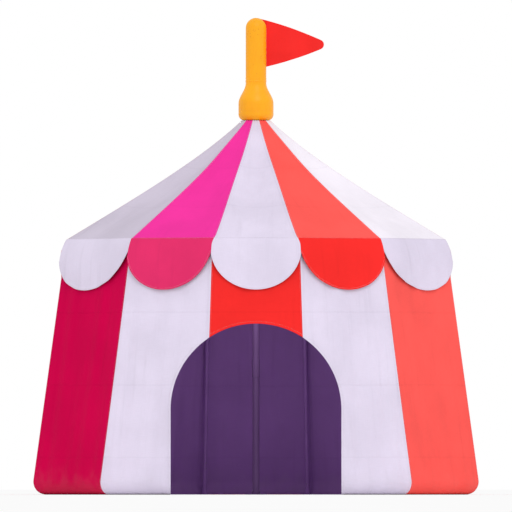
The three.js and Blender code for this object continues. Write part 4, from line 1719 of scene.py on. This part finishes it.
def wall_paths(cloth):
    number = cloth.bay.number
    if number not in DOOR_BAYS:
        return seam_paths(cloth, WALL.length, WALL_STITCH_ENDS)
    if number:
        return seam_paths(cloth, WALL.length, WALL_STITCH_ENDS, (number,)) + [door_path(cloth)]
    arch = arch_edge(cloth, PATH_STEPS)
    hem = edge_path(cloth, arch, DOOR_STITCH_INSET, DOOR_HEM_HEIGHT)
    return seam_paths(cloth, arch[0, 1], ARCH_STITCH_ENDS) + [hem]


def sew(name, paths, pitch, slot):
    """Lays stitches along paths and dresses them."""
    edges, first = [], 0
    for path, _ in paths:
        edges += [(first + n, first + n + 1) for n in range(len(path) - 1)]
        first += len(path)
    points, ways = (np.concatenate(part) for part in zip(*paths))
    values = {"Pitch": pitch, "Length": STITCH_LENGTH, "Width": STITCH_WIDTH, "Thread": THREAD}
    piece = dress(run_tree(name, points, edges, ways, STITCHES, values), slot)
    print(f"{name}: {len(piece.data.polygons)} faces")


roof_paths = [path for cloth in ROOF_CLOTHS
              for path in seam_paths(cloth, ROOF.length, ROOF_STITCH_ENDS)]
sew("roof_stitching", roof_paths, ROOF_PITCH, "roof_white")

hem_paths = [edge_path(cloth, scallop_edge(cloth, VALANCE_COLUMNS), HEM_STITCH_INSET, HEM_HEIGHT)
             for cloth in VALANCE_CLOTHS]
lap_side = np.linspace(-LAP_STITCH_SIDE, LAP_STITCH_SIDE, PATH_STEPS)
lap_paths = [on_cloth(cloth, lap_side, np.full(PATH_STEPS, LAP_STITCH_DOWN), 0.0)
             for cloth in VALANCE_CLOTHS]
sew("valance_stitching", hem_paths + lap_paths, VALANCE_PITCH, "valance_white")

all_wall_paths = [path for cloth in WALL_CLOTHS for path in wall_paths(cloth)]
sew("wall_stitching", all_wall_paths, WALL_PITCH, "wall_white")

# %% Set the bolts and rivets
BOLT_SIZE = 0.009
BOLT_SIDES = 6
KING_BOLTS = (0.16, 8)
POLE_BOLTS = (0.068, 4)
RIVET_SIZE = 0.007
RIVET_SIDES = 12
RIVET_COUNT = 16
UPWARDS = (0.0, 0.0, 1.0)


def set_bolts(name, points, ways, head, sides, metal, slot):
    """Sets a bolt on every point, facing its way, and dresses them all as one piece."""
    values = {"Head": head, "Sides": sides, "Metal": metal}
    piece = dress(run_tree(name, points, [], ways, BOLTS, values), slot)
    piece.data.set_sharp_from_angle(angle=SMOOTH_ANGLE)
    print(f"{name}: {len(points)} set")


def bolt_circle(bolts, z, centre=(0.0, 0.0)):
    radius, count = bolts
    return circle(radius, z, count, centre, start=0.5)


plate_points = np.concatenate([bolt_circle(KING_BOLTS, KING_PLATE[1])] + [
    bolt_circle(POLE_BOLTS, POLE_PLATE[1], pole_foot(angle)) for angle in POLE_CORNERS.values()
])
plate_ways = np.tile(UPWARDS, (len(plate_points), 1))
set_bolts("base_plate_bolts", plate_points, plate_ways, BOLT_SIZE, BOLT_SIDES, STEEL,
          "frame_steel")

rivet_points = bolt_circle((FINIAL_FOOT, RIVET_COUNT), RIVET_Z)
rivet_ways = rivet_points * np.array([1.0, 1.0, 0.0])
set_bolts("finial_rivets", rivet_points, rivet_ways, RIVET_SIZE, RIVET_SIDES, GOLD, "finial_gold")
